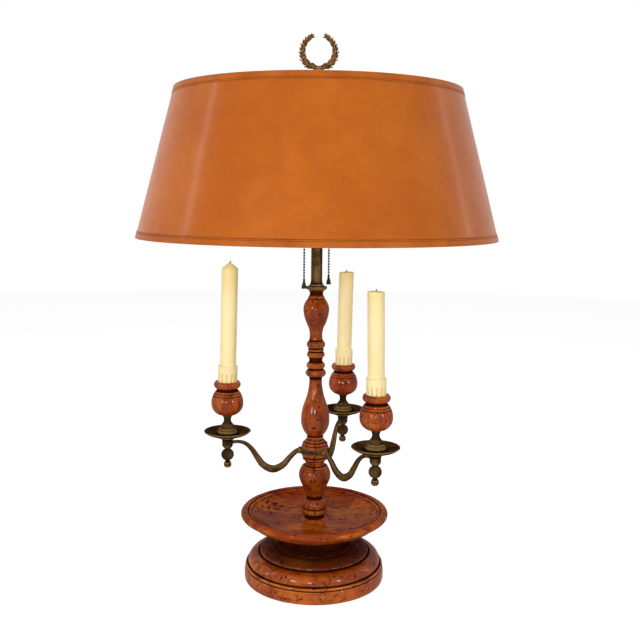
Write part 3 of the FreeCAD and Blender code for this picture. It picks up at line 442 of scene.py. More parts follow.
def press(place, normal, push, marks, point, length, width, depth, slant):
    """One dent: an oval push into the surface at point, its long way at slant to level."""
    facing = normal[nearest(place, point)]
    level = np.cross((0.0, 0.0, 1.0), facing)
    size = np.linalg.norm(level)
    level = level / size if size > 0.2 else np.array((1.0, 0.0, 0.0))
    upright = np.cross(facing, level)
    turn = math.radians(slant)
    long_way = level * math.cos(turn) + upright * math.sin(turn)
    short_way = upright * math.cos(turn) - level * math.sin(turn)
    gap = place - point
    far = (
        ((gap @ long_way) / length) ** 2
        + ((gap @ short_way) / width) ** 2
        + ((gap @ facing) / (2 * width)) ** 2
    )
    bite = np.exp(-far * 2.0)
    push -= depth * bite
    np.maximum(marks, bite, out=marks)


def wear(piece, seed, dents, depth, wobble=0.10, scars=""):
    """Years of knocks: a slight wobble, seeded dents about depth millimetres deep, and the
    scars listed for this piece. The attribute "wear" tells the shader where they are."""
    mesh = piece.data
    place, normal = vertex_arrays(mesh)
    push = np.array([noise.noise(Vector(p) * 45.0) for p in place]) * wobble * MM
    push = np.minimum(push, 0.0) * 2.0
    marks = np.zeros(len(place))
    chance = random.Random(seed)
    for _ in range(dents):
        point = place[chance.randrange(len(place))]
        width = chance.uniform(0.5, 1.7) * MM
        length = width * chance.uniform(1.0, 3.2)
        deep = depth * MM * chance.uniform(0.5, 1.3)
        slant = chance.uniform(0.0, 180.0)
        press(place, normal, push, marks, point, length, width, deep, slant)
    for owner, bearing, radius, height, length, width, deep, slant in SCARS:
        if owner == scars:
            turn = math.radians(bearing)
            aim = np.array((radius * math.cos(turn), radius * math.sin(turn), height)) * MM
            point = place[nearest(place, aim)]
            press(place, normal, push, marks, point, length * MM / 2, width * MM, deep * MM, slant)
    place += normal * push[:, None]
    mesh.vertices.foreach_set("co", place.ravel())
    mesh.update()
    write_attribute(piece, "wear", marks)


def dress(piece, material, slot, body, *nodes):
    """Gives a finished piece its material and its body, and hides the CAD nodes it stands for.
    With no material it keeps those that it has."""
    if material:
        piece.data.materials.clear()
        piece.data.materials.append(material)
    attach(piece, body)
    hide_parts(*nodes)


def joined(name, pieces):
    """One object from several, keeping their attributes and material slots."""
    first = pieces[0]
    with bpy.context.temp_override(
        active_object=first, object=first,
        selected_objects=pieces, selected_editable_objects=pieces,
    ):
        bpy.ops.object.join()
    first.name = name
    first.data.name = name
    return first


# Shader expressions

def add(tree, kind, settings=None, inputs=None):
    """One node of a tree: its settings first, and then the values or links of its sockets."""
    node = tree.nodes.new(kind)
    for key, value in (settings or {}).items():
        setattr(node, key, value)
    for key, value in (inputs or {}).items():
        if isinstance(value, Wire):
            value = value.socket
        if isinstance(value, bpy.types.NodeSocket):
            tree.links.new(value, node.inputs[key])
        else:
            node.inputs[key].default_value = value
    return node


class Wire:
    """A number, colour or vector on its way through a material, with the usual operators."""

    def __init__(self, sketch, socket):
        self.sketch = sketch
        self.socket = socket

    def math(self, operation, other=None, swap=False):
        values = [self] if other is None else [self, other]
        if swap:
            values.reverse()
        node = self.sketch.node("ShaderNodeMath", {"operation": operation}, dict(enumerate(values)))
        return Wire(self.sketch, node.outputs[0])

    def __add__(self, other):
        return self.math("ADD", other)

    __radd__ = __add__

    def __sub__(self, other):
        return self.math("SUBTRACT", other)

    def __rsub__(self, other):
        return self.math("SUBTRACT", other, swap=True)

    def __mul__(self, other):
        return self.math("MULTIPLY", other)

    __rmul__ = __mul__

    def most(self, other):
        return self.math("MAXIMUM", other)

    def size(self):
        return self.math("ABSOLUTE")

    def step(self, low, high):
        """0 below low, 1 above high, smooth between. low may be the larger."""
        flip = low > high
        if flip:
            low, high = high, low
        settings = {"interpolation_type": "SMOOTHSTEP"}
        node = self.sketch.node("ShaderNodeMapRange", settings, {0: self, 1: low, 2: high})
        result = Wire(self.sketch, node.outputs[0])
        return 1.0 - result if flip else result


class Sketch:
    """One material being drawn: makes its nodes and ends in a Principled surface."""

    def __init__(self, name, roughness, **constants):
        self.material = bpy.data.materials.new(name)
        self.material.use_nodes = True
        self.tree = self.material.node_tree
        self.surface = self.tree.nodes["Principled BSDF"]
        self.surface.inputs["Roughness"].default_value = roughness
        for socket, value in constants.items():
            self.surface.inputs[socket.replace("_", " ")].default_value = value
        self.place = self.node("ShaderNodeTexCoord").outputs["Object"]

    def node(self, kind, settings=None, inputs=None):
        return add(self.tree, kind, settings, inputs)

    def stretched(self, scale, turn=(0.0, 0.0, 0.0)):
        """Object coordinates, turned and stretched by scale."""
        inputs = {"Vector": self.place, "Scale": scale, "Rotation": turn}
        return self.node("ShaderNodeMapping", None, inputs).outputs["Vector"]

    def noise(self, scale, detail=3.0, roughness=0.5, vector=None, distortion=0.0):
        node = self.node("ShaderNodeTexNoise", None, {
            "Vector": vector or self.place, "Scale": scale, "Detail": detail,
            "Roughness": roughness, "Distortion": distortion,
        })
        return Wire(self, node.outputs["Fac"])

    def scatter(self, scale, vector, feature="F1"):
        inputs = {"Vector": vector or self.place, "Scale": scale}
        return self.node("ShaderNodeTexVoronoi", {"feature": feature}, inputs)

    def cells(self, scale, vector=None, feature="F1"):
        """Distance to the nearest of many scattered points, or to the edge of its cell."""
        return Wire(self, self.scatter(scale, vector, feature).outputs["Distance"])

    def cell_value(self, scale, vector=None):
        """A steady random value for each cell."""
        colour = self.scatter(scale, vector).outputs["Color"]
        return Wire(self, self.node("ShaderNodeSeparateColor", None, {0: colour}).outputs[0])

    def attribute(self, name):
        node = self.node("ShaderNodeAttribute", {"attribute_name": name})
        return Wire(self, node.outputs["Fac"])

    def axis(self, letter):
        """One object coordinate, in metres."""
        parts = self.node("ShaderNodeSeparateXYZ", None, {0: self.place})
        return Wire(self, parts.outputs["XYZ".index(letter)])

    def mix(self, share, first, second):
        """first where share is 0, second where it is 1; both are colours."""
        inputs = {0: share, 6: solid(first), 7: solid(second)}
        return Wire(self, self.node("ShaderNodeMix", {"data_type": "RGBA"}, inputs).outputs[2])

    def paint(self, socket, value):
        """Leads a wire to one of the surface's own sockets."""
        self.tree.links.new(value.socket, self.surface.inputs[socket])

    def emboss(self, height, strength, distance):
        """Raises the surface by height, distance metres at the most."""
        bump = self.node("ShaderNodeBump", None, {
            "Height": height, "Strength": strength, "Distance": distance})
        self.paint("Normal", Wire(self, bump.outputs["Normal"]))


def solid(colour):
    """A colour ready for a socket; a wire is passed through."""
    if isinstance(colour, Wire):
        return colour
    return (*tuple(colour)[:3], 1.0)


# Finishes

def fruitwood(name, grain, seed=0.0, gloss=0.32, crack=None):
    """Old waxed fruitwood: streaked amber and red, dark in the hollows with stain and painted
    shade, and lighter at the edges with wear and a painted highlight, with flecks, worm holes,
    splits and dents. grain stretches the streaks and seed turns them; crack is the x, lowest
    and highest place of a crack in front, in millimetres."""
    colours = bpy.context.scene.lamp_colours
    s = Sketch(name, 0.32, Specular_IOR_Level=0.0, Coat_Roughness=0.12)
    long_way = s.stretched(grain, (0.0, 0.0, seed))
    streak = s.noise(34.0, 6.0, 0.62, long_way, 0.6)
    fine = s.noise(190.0, 4.0, 0.6, long_way)
    cloud = s.noise(16.0, 3.0, 0.55, None, 0.4)
    blotch = s.noise(52.0, 4.0, 0.6, None, 0.8)
    base = s.mix(streak.step(0.34, 0.62), colours.wood_red, colours.wood_light)
    base = s.mix(cloud.step(0.36, 0.60) * 0.60, base, colours.wood_red)
    base = s.mix(fine.step(0.46, 0.70) * 0.45, base, colours.wood_dark)
    base = s.mix(blotch.step(0.50, 0.70) * 0.65, base, colours.wood_dark)
    fleck = s.cells(210.0).step(0.24, 0.10) * s.cell_value(210.0).step(0.72, 0.80)
    pit = s.cells(70.0, s.stretched((1.0, 1.0, 0.6))).step(0.12, 0.05)
    pit = pit * s.cell_value(70.0).step(0.72, 0.80)
    leaning = s.stretched((1.0, 1.0, 0.55), (0.23, 0.56, 0.37))
    split = s.cells(48.0, leaning, "DISTANCE_TO_EDGE").step(0.015, 0.006)
    split = split * s.noise(30.0, 3.0, 0.5).step(0.60, 0.66)
    # Stain in the hollows, and painted shade from the lathe's painted_shade values, darken the
    # wood.
    hollow_dark = s.attribute("hollow").step(0.08, 0.66)
    dent = s.attribute("wear").step(0.16, 0.62)
    # Painted highlight and wear: the crests of the mouldings are lightened.
    rub_and_highlight = s.attribute("crest").step(0.40, 0.95) * streak.step(0.40, 0.60)
    base = s.mix(rub_and_highlight * 0.35, base, colours.wood_edge_highlight)
    # Stain and painted shade in one dark colour.
    base = s.mix(hollow_dark * 0.94, base, colours.wood_stain_and_shade)
    base = s.mix(dent * 0.92, base, colours.wood_pit)
    holes = fleck.most(pit).most(split)
    if crack:
        x, low, high = (value * MM for value in crack)
        wander = (s.noise(60.0, 2.0) - 0.5) * 0.0045
        line = (s.axis("X") - x + wander).size().step(0.00075, 0.0003)
        length = s.axis("Z").step(low, low + 0.006) * s.axis("Z").step(high, high - 0.006)
        holes = holes.most(line * length * s.axis("Y").step(0.0, -0.004))
    s.paint("Base Color", s.mix(holes, base, colours.wood_pit))
    s.paint("Roughness", 0.14 + streak * 0.14 + hollow_dark * 0.20 + holes * 0.3)
    s.paint("Coat Weight", ((1.0 - hollow_dark - dent * 0.5) * gloss).most(0.0))
    s.emboss(streak * 0.2 + fine * 0.15 + blotch * 0.5 - holes, 0.80, 0.0009)
    return s.material


def old_brass(name, polish, metal=0.35, warm=False):
    """Cast brass gone brown: dark patina in the hollows, and olive gold on the swells, or
    copper gold where warm, for wear and a painted highlight. polish is how much is worn
    bright, metal how bright it mirrors."""
    colours = bpy.context.scene.lamp_colours
    s = Sketch(name, 0.4, Specular_IOR_Level=0.0, Specular_Tint=solid((0.02, 0.014, 0.008)))
    cloud = s.noise(60.0, 4.0, 0.6, None, 0.5)
    grit = s.noise(620.0, 3.0, 0.6)
    spot = s.noise(170.0, 3.0, 0.55).step(0.60, 0.72)
    # Worn patches, and the crests lightened as wear and a painted highlight.
    rub_and_highlight = (cloud.step(0.38, 0.62) * polish * 0.7).most(s.attribute("crest").step(0.30, 0.70))
    base = s.mix(rub_and_highlight, colours.brass_dark, colours.brass_warm if warm else colours.brass_light)
    base = s.mix(spot * 0.55, base, colours.brass_black)
    hollow_dark = s.attribute("hollow").step(0.08, 0.60)
    base = s.mix(hollow_dark * 0.80, base, colours.brass_black)
    s.paint("Base Color", base)
    s.paint("Metallic", (1.0 - hollow_dark * 0.75 - spot * 0.25) * metal)
    s.paint("Roughness", 0.24 + grit * 0.14 + hollow_dark * 0.18 + spot * 0.12)
    s.emboss(cloud * 0.7 + grit * 0.35, 0.50, 0.0005)
    return s.material


def bright_metal(name, colour, dark):
    """Drawn or spun metal with faint turning lines and a thin tarnish."""
    s = Sketch(name, 0.28, Metallic=1.0)
    haze = s.noise(90.0, 3.0, 0.55)
    lines = s.noise(900.0, 2.0, 0.5, s.stretched((1.0, 1.0, 0.15)))
    s.paint("Base Color", s.mix(haze.step(0.35, 0.7) * 0.7, colour, dark))
    s.paint("Roughness", 0.23 + haze * 0.14 + lines * 0.06)
    s.emboss(lines, 0.10, 0.0002)
    return s.material


def shade_liner(name):
    """The shade's inside: cream paper, aged in patches."""
    colours = bpy.context.scene.lamp_colours
    s = Sketch(name, 0.75, Specular_IOR_Level=0.3)
    tooth = s.noise(420.0, 4.0, 0.6)
    cloud = s.noise(9.0, 3.0, 0.5)
    s.paint("Base Color", s.mix(cloud.step(0.3, 0.7) * 0.5, colours.liner, colours.liner_shadow))
    s.paint("Roughness", 0.70 + tooth * 0.15)
    s.emboss(tooth, 0.15, 0.0004)
    return s.material


def shade_paper(name):
    """Caramel leather-look paper: mottled glaze over a fine grain, a few dark flecks."""
    colours = bpy.context.scene.lamp_colours
    tint = solid((1.0, 0.85, 0.6))
    s = Sketch(name, 0.3, Specular_IOR_Level=0.12, Coat_Roughness=0.16, Specular_Tint=tint)
    cloud = s.noise(7.0, 4.0, 0.55, None, 0.6)
    patch = s.noise(26.0, 5.0, 0.6, None, 0.5)
    brush = s.noise(240.0, 4.0, 0.65, s.stretched((0.35, 0.35, 1.6)))
    tooth = s.noise(900.0, 3.0, 0.6)
    base = s.mix(cloud.step(0.34, 0.66), colours.shade_deep, colours.shade_light)
    base = s.mix(patch.step(0.45, 0.68) * 0.45, base, colours.shade_red)
    base = s.mix(brush.step(0.48, 0.70) * 0.35, base, colours.shade_red)
    base = s.mix(tooth.step(0.52, 0.72) * 0.25, base, colours.shade_pale)
    fleck = s.cells(24.0).step(0.036, 0.020) * s.cell_value(24.0).step(0.80, 0.84)
    speck = s.cells(75.0).step(0.055, 0.030) * s.cell_value(75.0).step(0.90, 0.93)
    mark = fleck.most(speck * 0.8)
    s.paint("Base Color", s.mix(mark * 0.92, base, colours.shade_fleck))
    s.paint("Roughness", 0.27 + tooth * 0.10 + patch * 0.08)
    s.paint("Coat Weight", 0.16 - mark * 0.16)
    s.emboss(brush * 0.6 + tooth * 0.4 - mark, 0.16, 0.0004)
    return s.material


def trim_tape(name):
    """Tan leather tape: redder than the shade, dark along its tooled lines."""
    colours = bpy.context.scene.lamp_colours
    s = Sketch(name, 0.36, Specular_IOR_Level=0.15, Specular_Tint=solid((1.0, 0.8, 0.55)))
    cloud = s.noise(22.0, 4.0, 0.6, None, 0.5)
    hide = s.cells(900.0)
    fine = s.noise(300.0, 4.0, 0.6)
    base = s.mix(cloud.step(0.35, 0.68), colours.tape, colours.tape_dark)
    base = s.mix(fine.step(0.5, 0.75) * 0.35, base, colours.tape_dark)
    line = s.attribute("hollow").step(0.10, 0.45)
    s.paint("Base Color", s.mix(line * 0.55, base, colours.shade_fleck))
    s.paint("Roughness", 0.32 + hide * 0.12 + line * 0.2)
    s.emboss(hide * 0.5 + fine * 0.5, 0.18, 0.0003)
    return s.material


def candle_wax(name):
    """Ivory wax, yellower towards the top, with painted shade in the flutes, and with bloom and
    scuffs.
    """
    colours = bpy.context.scene.lamp_colours
    s = Sketch(name, 0.42, Subsurface_Weight=0.15, Subsurface_Scale=0.004, IOR=1.44)
    s.surface.inputs["Subsurface Radius"].default_value = (1.0, 0.62, 0.25)
    cloud = s.noise(40.0, 4.0, 0.55, s.stretched((1.0, 1.0, 0.35)), 0.3)
    scuff = s.noise(160.0, 4.0, 0.65)
    warmth = (cloud.step(0.35, 0.7) * 0.6).most(s.axis("Z").step(0.375, 0.440))
    base = s.mix(warmth, colours.wax, colours.wax_warm)
    # Painted shade: the flutes are darker.
    base = s.mix(s.attribute("hollow").step(0.05, 0.8) * 0.75, base, colours.wax_shade_and_scuff)
    s.paint("Base Color", s.mix(scuff.step(0.66, 0.76) * 0.35, base, colours.wax_shade_and_scuff))
    s.paint("Roughness", 0.36 + scuff * 0.16)
    s.emboss(cloud * 0.5 + scuff * 0.3, 0.20, 0.0006)
    return s.material


def plain_fibre(name, colour, dark, scale, rough=0.9):
    """Felt, burnt wick or moulded resin: one tone broken up by fine fibres."""
    s = Sketch(name, rough, Specular_IOR_Level=0.25)
    fibre = s.noise(scale, 5.0, 0.7, None, 1.2)
    s.paint("Base Color", s.mix(fibre.step(0.35, 0.65), dark, colour))
    s.paint("Roughness", rough - 0.1 + fibre * 0.15)
    s.emboss(fibre, 0.5, 0.0005)
    return s.material


def frosted_glass(name, colour):
    """A bulb's inside-frosted glass, unlit."""
    s = Sketch(name, 0.25, IOR=1.5, Subsurface_Weight=0.2, Subsurface_Scale=0.01)
    haze = s.noise(80.0, 3.0, 0.5)
    s.paint("Base Color", s.mix(haze * 0.25, colour, (0.80, 0.79, 0.74)))
    s.paint("Roughness", 0.20 + haze * 0.10)
    return s.material


UPRIGHT = (1.0, 1.0, 0.22)
LEVEL = (0.25, 1.0, 1.0)

# The maker of each finish, and what it is told
FINISHES = {
    "stem wood": (fruitwood, {"grain": UPRIGHT}),
    "knop wood": (fruitwood, {"grain": UPRIGHT, "seed": 0.7, "crack": (-0.6, 152.0, 206.0)}),
    "cup wood": (fruitwood, {"grain": UPRIGHT, "seed": 1.9}),
    "dish wood": (fruitwood, {"grain": LEVEL, "seed": 0.5, "gloss": 0.16}),
    "plinth wood": (fruitwood, {"grain": LEVEL, "seed": 0.9, "gloss": 0.34}),
    "old brass": (old_brass, {"polish": 0.60}),
    "pan brass": (old_brass, {"polish": 0.45, "metal": 0.04}),
    "tube brass": (old_brass, {"polish": 0.5, "metal": 0.9}),
    "chain brass": (old_brass, {"polish": 0.35, "metal": 0.10}),
    "finial brass": (old_brass, {"polish": 0.5, "metal": 0.30, "warm": True}),
    "socket brass": (bright_metal, {"colour": (0.62, 0.45, 0.19), "dark": (0.34, 0.23, 0.09)}),
    "bulb brass": (bright_metal, {"colour": (0.70, 0.64, 0.50), "dark": (0.42, 0.36, 0.26)}),
    "plated steel": (bright_metal, {"colour": (0.56, 0.56, 0.54), "dark": (0.34, 0.34, 0.33)}),
    "shade paper": (shade_paper, {}),
    "shade liner": (shade_liner, {}),
    "trim tape": (trim_tape, {}),
    "candle wax": (candle_wax, {}),
    "burnt wick": (plain_fibre, {
        "colour": (0.10, 0.08, 0.06), "dark": (0.02, 0.016, 0.014), "scale": 1500.0}),
    "felt": (plain_fibre, {
        "colour": (0.06, 0.10, 0.06), "dark": (0.02, 0.04, 0.025), "scale": 1100.0}),
    "resin": (plain_fibre, {
        "colour": (0.05, 0.035, 0.028), "dark": (0.02, 0.014, 0.012), "scale": 400.0,
        "rough": 0.45}),
    "frosted glass": (frosted_glass, {"colour": (0.93, 0.92, 0.88)}),
}
MATERIALS = {}


def finish(name):
    """A finish by name, made once."""
    if name not in MATERIALS:
        maker, options = FINISHES[name]
        MATERIALS[name] = maker(name, **options)
    return MATERIALS[name]


# Geometry node trees

def new_tree(name, inputs):
    """A geometry tree with named inputs, each (name, socket type, default)."""
    tree = bpy.data.node_groups.new(name, "GeometryNodeTree")
    tree.interface.new_socket("Geometry", in_out="OUTPUT", socket_type="NodeSocketGeometry")
    for label, kind, default in inputs:
        socket = tree.interface.new_socket(label, in_out="INPUT", socket_type=kind)
        if default is not None:
            socket.default_value = default
    return tree, tree.nodes.new("NodeGroupInput"), tree.nodes.new("NodeGroupOutput")


def ended(tree, geometry, material, leave):
    """Realize Instances and Set Material close every tree."""
    real = add(tree, "GeometryNodeRealizeInstances", None, {"Geometry": geometry})
    painted = add(tree, "GeometryNodeSetMaterial", None, {
        "Geometry": real.outputs[0], "Material": material})
    tree.links.new(painted.outputs[0], leave.inputs[0])
    return tree


def together(tree, *parts):
    """The parts of a tree joined into one geometry."""
    both = add(tree, "GeometryNodeJoinGeometry")
    for part in parts:
        tree.links.new(part, both.inputs[0])
    return both.outputs[0]


def grown(name, tree, values):
    """Runs a tree on an empty object and keeps the result as a plain mesh."""
    seed = added(name + " seed", bpy.data.meshes.new(name + " seed"))
    modifier = seed.modifiers.new("tree", "NODES")
    modifier.node_group = tree
    for item in tree.interface.items_tree:
        if item.in_out == "INPUT" and item.name in values:
            modifier[item.identifier] = values[item.name]
    seed.update_tag()
    graph = bpy.context.evaluated_depsgraph_get()
    graph.update()
    mesh = bpy.data.meshes.new_from_object(seed.evaluated_get(graph))
    bpy.data.objects.remove(seed)
    mesh.name = name
    smoothed(mesh, crease=40)
    return added(name, mesh)


def bead_tree():
    """Beads on a straight wire, from Start upwards."""
    tree, entry, leave = new_tree("bead chain", (
        ("Beads", "NodeSocketInt", 38),
        ("Pitch", "NodeSocketFloat", 0.0033),
        ("Bead Radius", "NodeSocketFloat", 0.0012),
        ("Wire Radius", "NodeSocketFloat", 0.0004),
        ("Start", "NodeSocketVector", None),
        ("Material", "NodeSocketMaterial", None),
    ))
    value = entry.outputs
    offset = add(tree, "ShaderNodeCombineXYZ", None, {"Z": value["Pitch"]})
    line = add(tree, "GeometryNodeMeshLine", None, {
        "Count": value["Beads"], "Start Location": value["Start"], "Offset": offset.outputs[0]})
    bead = add(tree, "GeometryNodeMeshUVSphere", None, {
        "Segments": 12, "Rings": 7, "Radius": value["Bead Radius"]})
    link = add(tree, "GeometryNodeMeshCylinder", None, {
        "Vertices": 6, "Radius": value["Wire Radius"], "Depth": value["Pitch"]})
    half = add(tree, "ShaderNodeVectorMath", {"operation": "SCALE"}, {
        0: offset.outputs[0], "Scale": 0.5})
    raised = add(tree, "GeometryNodeTransform", None, {
        "Geometry": link.outputs["Mesh"], "Translation": half.outputs[0]})
    strung = add(tree, "GeometryNodeInstanceOnPoints", None, {
        "Points": line.outputs[0],
        "Instance": together(tree, bead.outputs["Mesh"], raised.outputs[0])})
    return ended(tree, strung.outputs[0], value["Material"], leave)


def laurel_tree():
    """One laurel branch: whorls of leaves set along an arc, turned and tapered row by row."""
    tree, entry, leave = new_tree("laurel branch", (
        ("Rows", "NodeSocketInt", 13),
        ("Radius", "NodeSocketFloat", 0.0219),
        ("Start Angle", "NodeSocketFloat", 0.0),
        ("Sweep Angle", "NodeSocketFloat", 1.0),
        ("Stalk Radius", "NodeSocketFloat", 0.002),
        ("Twist", "NodeSocketFloat", 0.8),
        ("Tip Scale", "NodeSocketFloat", 0.7),
        ("Whorl", "NodeSocketObject", None),
        ("Centre", "NodeSocketVector", None),
        ("Material", "NodeSocketMaterial", None),
    ))
    value = entry.outputs
    coarse, smooth = (
        add(tree, "GeometryNodeCurveArc", {"mode": "RADIUS"}, {
            "Resolution": resolution, "Radius": value["Radius"],
            "Start Angle": value["Start Angle"], "Sweep Angle": value["Sweep Angle"]})
        for resolution in (value["Rows"], 48)
    )
    points = add(tree, "GeometryNodeCurveToPoints", {"mode": "EVALUATED"}, {
        "Curve": coarse.outputs["Curve"]})
    index = add(tree, "GeometryNodeInputIndex")
    share = add(tree, "ShaderNodeMath", {"operation": "DIVIDE"}, {
        0: index.outputs[0], 1: value["Rows"]})
    taper = add(tree, "ShaderNodeMapRange", None, {
        "Value": share.outputs[0], "To Min": 1.0, "To Max": value["Tip Scale"]})
    turn = add(tree, "ShaderNodeMath", {"operation": "MULTIPLY"}, {
        0: index.outputs[0], 1: value["Twist"]})
    spin = add(tree, "ShaderNodeCombineXYZ", None, {"Z": turn.outputs[0]})
    leaf = add(tree, "GeometryNodeObjectInfo", None, {"Object": value["Whorl"]})
    placed = add(tree, "GeometryNodeInstanceOnPoints", None, {
        "Points": points.outputs["Points"], "Instance": leaf.outputs["Geometry"],
        "Rotation": points.outputs["Rotation"], "Scale": taper.outputs[0]})
    twisted = add(tree, "GeometryNodeRotateInstances", None, {
        "Instances": placed.outputs[0], "Rotation": spin.outputs[0]})
    ring = add(tree, "GeometryNodeCurvePrimitiveCircle", {"mode": "RADIUS"}, {
        "Resolution": 10, "Radius": value["Stalk Radius"]})
    stalk = add(tree, "GeometryNodeCurveToMesh", None, {
        "Curve": smooth.outputs["Curve"], "Profile Curve": ring.outputs["Curve"],
        "Fill Caps": True})
    stood = add(tree, "GeometryNodeTransform", None, {
        "Geometry": together(tree, twisted.outputs[0], stalk.outputs[0]),
        "Rotation": (math.pi / 2, 0.0, 0.0), "Translation": value["Centre"]})
    return ended(tree, stood.outputs[0], value["Material"], leave)


# Pieces

def plinth_painted_shade(height, share):
    """Painted shade on the plinth's upper mouldings, under the dish, darker towards the neck."""
    return 0.50 * rise(height, 34.0, 44.0)


def neck_painted_shade(height, share):
    """Painted shade: the neck, under the dish, is dark all over."""
    return 1.0


def dish_painted_shade(height, share):
    """Painted shade on the dish's underside, which its outline starts with: darker than the bowl.
    """
    return 0.42 if share < 0.27 and height < 91.0 else 0.0


def stem_painted_shade(height, share):
    """Painted shade on the stem: the lowest turning and the top of the baluster are made darkest.
    """
    return 0.26 if height < 162.0 else 0.20 * rise(height, 345.0, 370.0)


def make_base():
    plinth = lathe("plinth", PLINTH, 256, painted_shade=plinth_painted_shade)
    wear(plinth, seed=14, dents=90, depth=0.8, wobble=0.15, scars="plinth")
    dress(plinth, finish("plinth wood"), "fruitwood", "stand", "base_plinth")
    neck = lathe("neck", NECK, 144, painted_shade=neck_painted_shade)
    wear(neck, seed=12, dents=12, depth=0.4)
    dress(neck, finish("plinth wood"), "fruitwood", "stand", "dish_neck")


def make_dish():
    dish = lathe("dish", DISH, 320, painted_shade=dish_painted_shade)
    wear(dish, seed=21, dents=80, depth=0.7, wobble=0.15, scars="dish")
    dress(dish, finish("dish wood"), "fruitwood", "stand", "drip_dish")


def make_stem():
    for name, shape, seed, dents, wood, node in (
        ("lower knop", LOWER_KNOP, 31, 24, "knop wood", "lower_knop"),
        ("arm knop", ARM_KNOP, 32, 10, "knop wood", "arm_knop"),
        ("baluster", BALUSTER, 33, 34, "stem wood", "stem_baluster"),
    ):
        piece = lathe(name.replace(" ", "_"), shape, 112, 0.7, painted_shade=stem_painted_shade)
        wear(piece, seed, dents, depth=0.6, scars=name)
        dress(piece, finish(wood), "fruitwood", "stand", node)


def make_tube():
    for name, shape, node, brass in (
        ("cap", STEM_CAP, "stem_cap", "old brass"),
        ("collar", TUBE_COLLAR, "tube_collar", "old brass"),
        ("tube", TUBE, "riser_tube", "tube brass"),
    ):
        piece = lathe(name, shape, 72, 0.5)
        dress(piece, finish(brass), "antique_brass", "stand", node)


def spline(stations, steps):
    """A smooth path of points through the stations, all their columns eased alike."""
    s = np.array(stations, float)
    padded = np.vstack([2 * s[0] - s[1], s, 2 * s[-1] - s[-2]])
    path = []
    for k in range(1, len(s)):
        a, b, c, d = padded[k - 1], padded[k], padded[k + 1], padded[k + 2]
        for n in range(steps):
            t = n / steps
            path.append(0.5 * (2 * b + (c - a) * t + (2 * a - 5 * b + 4 * c - d) * t * t
                               + (3 * b - a - 3 * c + d) * t ** 3))
    path.append(s[-1])
    return np.array(path)


def arm_bar(name):
    """The S-shaped bar with a soft ridge along each flank, before it is turned to its side."""
    path = spline(ARM_STATIONS, 9)
    section = []
    for turn in around(24):
        flat = abs(math.cos(turn)) ** 1.35 * math.copysign(1.0, math.cos(turn))
        tall = abs(math.sin(turn)) ** 0.85 * math.copysign(1.0, math.sin(turn))
        section.append((flat, tall))
    vertices, rub_and_highlight = [], []
    for k, (radius, height, depth, width) in enumerate(path):
        # Crest values: the bar's corners lightened as wear and a painted highlight, its upper side
        # more as a painted highlight.
        rub_and_highlight += [abs(flat * tall) * 1.1 + 0.25 * (tall > 0.8) for flat, tall in section]
        along = path[min(k + 1, len(path) - 1)][:2] - path[max(k - 1, 0)][:2]
        along = along / np.linalg.norm(along)
        for flat, tall in section:
            vertices.append((
                (radius - along[1] * tall * depth / 2) * MM,
                flat * width / 2 * MM,
                (height + along[0] * tall * depth / 2) * MM,
            ))
    rows, count = len(path), len(section)
    piece = object_from(name, vertices, ends(rows, count, True) + wall(rows, count, True))
    write_attribute(piece, "crest", rub_and_highlight)
    write_attribute(piece, "hollow")
    return piece


def knuckle(name):
    """The cast swelling where an arm leaves the band, with a neck and a button end."""
    piece = lathe(name, KNUCKLE, 40, 0.5)
    piece.data.transform(Matrix.Rotation(math.pi / 2, 4, "Y"))
    foot = Matrix.Translation(((BAND_OUTER - 0.8) * MM, 0.0, BAND_HEIGHT * MM))
    piece.data.transform(foot)
    return piece


def make_arms():
    band = lathe("band", ARM_BAND, 96, 0.4)
    dress(band, finish("old brass"), "antique_brass", "stand", "arm_band")
    for side in SIDES:
        bar = arm_bar(side + "_bar")
        knot = knuckle(side + "_knuckle")
        boss = lathe(side + "_boss", ARM_BOSS, 56, 0.5, (ARM_REACH * MM, 0.0))
        piece = joined(side + "_branch", [bar, knot, boss])
        piece.data.transform(Matrix.Rotation(math.radians(ARM_BEARING[side]), 4, "Z"))
        dress(piece, finish("old brass"), "antique_brass", "stand", side + "_arm")


def make_pans():
    for side in SIDES:
        centre = arm_axis(side)
        for name, shape, segments, node in (
            ("pan", PAN, 112, "drip_pan"),
            ("drop", PAN_DROP, 48, "pan_drop"),
            ("foot", PEDESTAL, 56, "cup_pedestal"),
        ):
            piece = lathe(side + "_" + name, shape, segments, 0.5, centre)
            dress(piece, finish("pan brass"), "antique_brass", "stand", side + "_" + node)


def make_cups():
    for number, side in enumerate(SIDES):
        cup = lathe(side + "_cup", CUP, 104, 0.7, arm_axis(side))
        wear(cup, seed=41 + number, dents=26, depth=0.45, wobble=0.08)
        dress(cup, finish("cup wood"), "fruitwood", "stand", side + "_candle_cup")


def flute(turn):
    """1 at the bottom of a flute of the wax and 0 on the ridges between."""
    return 1.0 - abs(math.sin(turn * FLUTES / 2))


def candle_radius(height, turn):
    """Radius of the wax at a height and round the candle: a shaft, a collar and its flutes."""
    if height > WAX_COLLAR_TOP:
        return WAX_SHAFT_RADIUS
    share = max(0.0, (WAX_TAPER_TOP - height) / (WAX_TAPER_TOP - CANDLE_FOOT))
    radius = WAX_COLLAR_RADIUS - WAX_TAPER * share ** 1.2
    if height < FLUTE_TOP:
        radius -= FLUTE_DEPTH * min(1.0, (FLUTE_TOP - height) / 14.0) * flute(turn) ** 1.6
    return radius


def candle_crown(side):
    """The top of a candle, a point or a worn flat end: rows of height and share of radius."""
    top, tip = CANDLE_TOP[side], CANDLE_TIP[side]
    if tip > 4.0:
        return [(top - 1.4, 1.0), (top - 0.4, 0.97), (top + 0.6, 0.90), (top + 2.8, 0.68),
                (top + 5.2, 0.42), (top + 7.0, 0.20), (top + 7.8, 0.10)]
    return [(top - 1.6, 1.0), (top - 0.6, 0.985), (top - 0.1, 0.93), (top, 0.80),
            (top - 0.3, 0.55), (top - 0.1, 0.32), (top + tip, 0.14)]


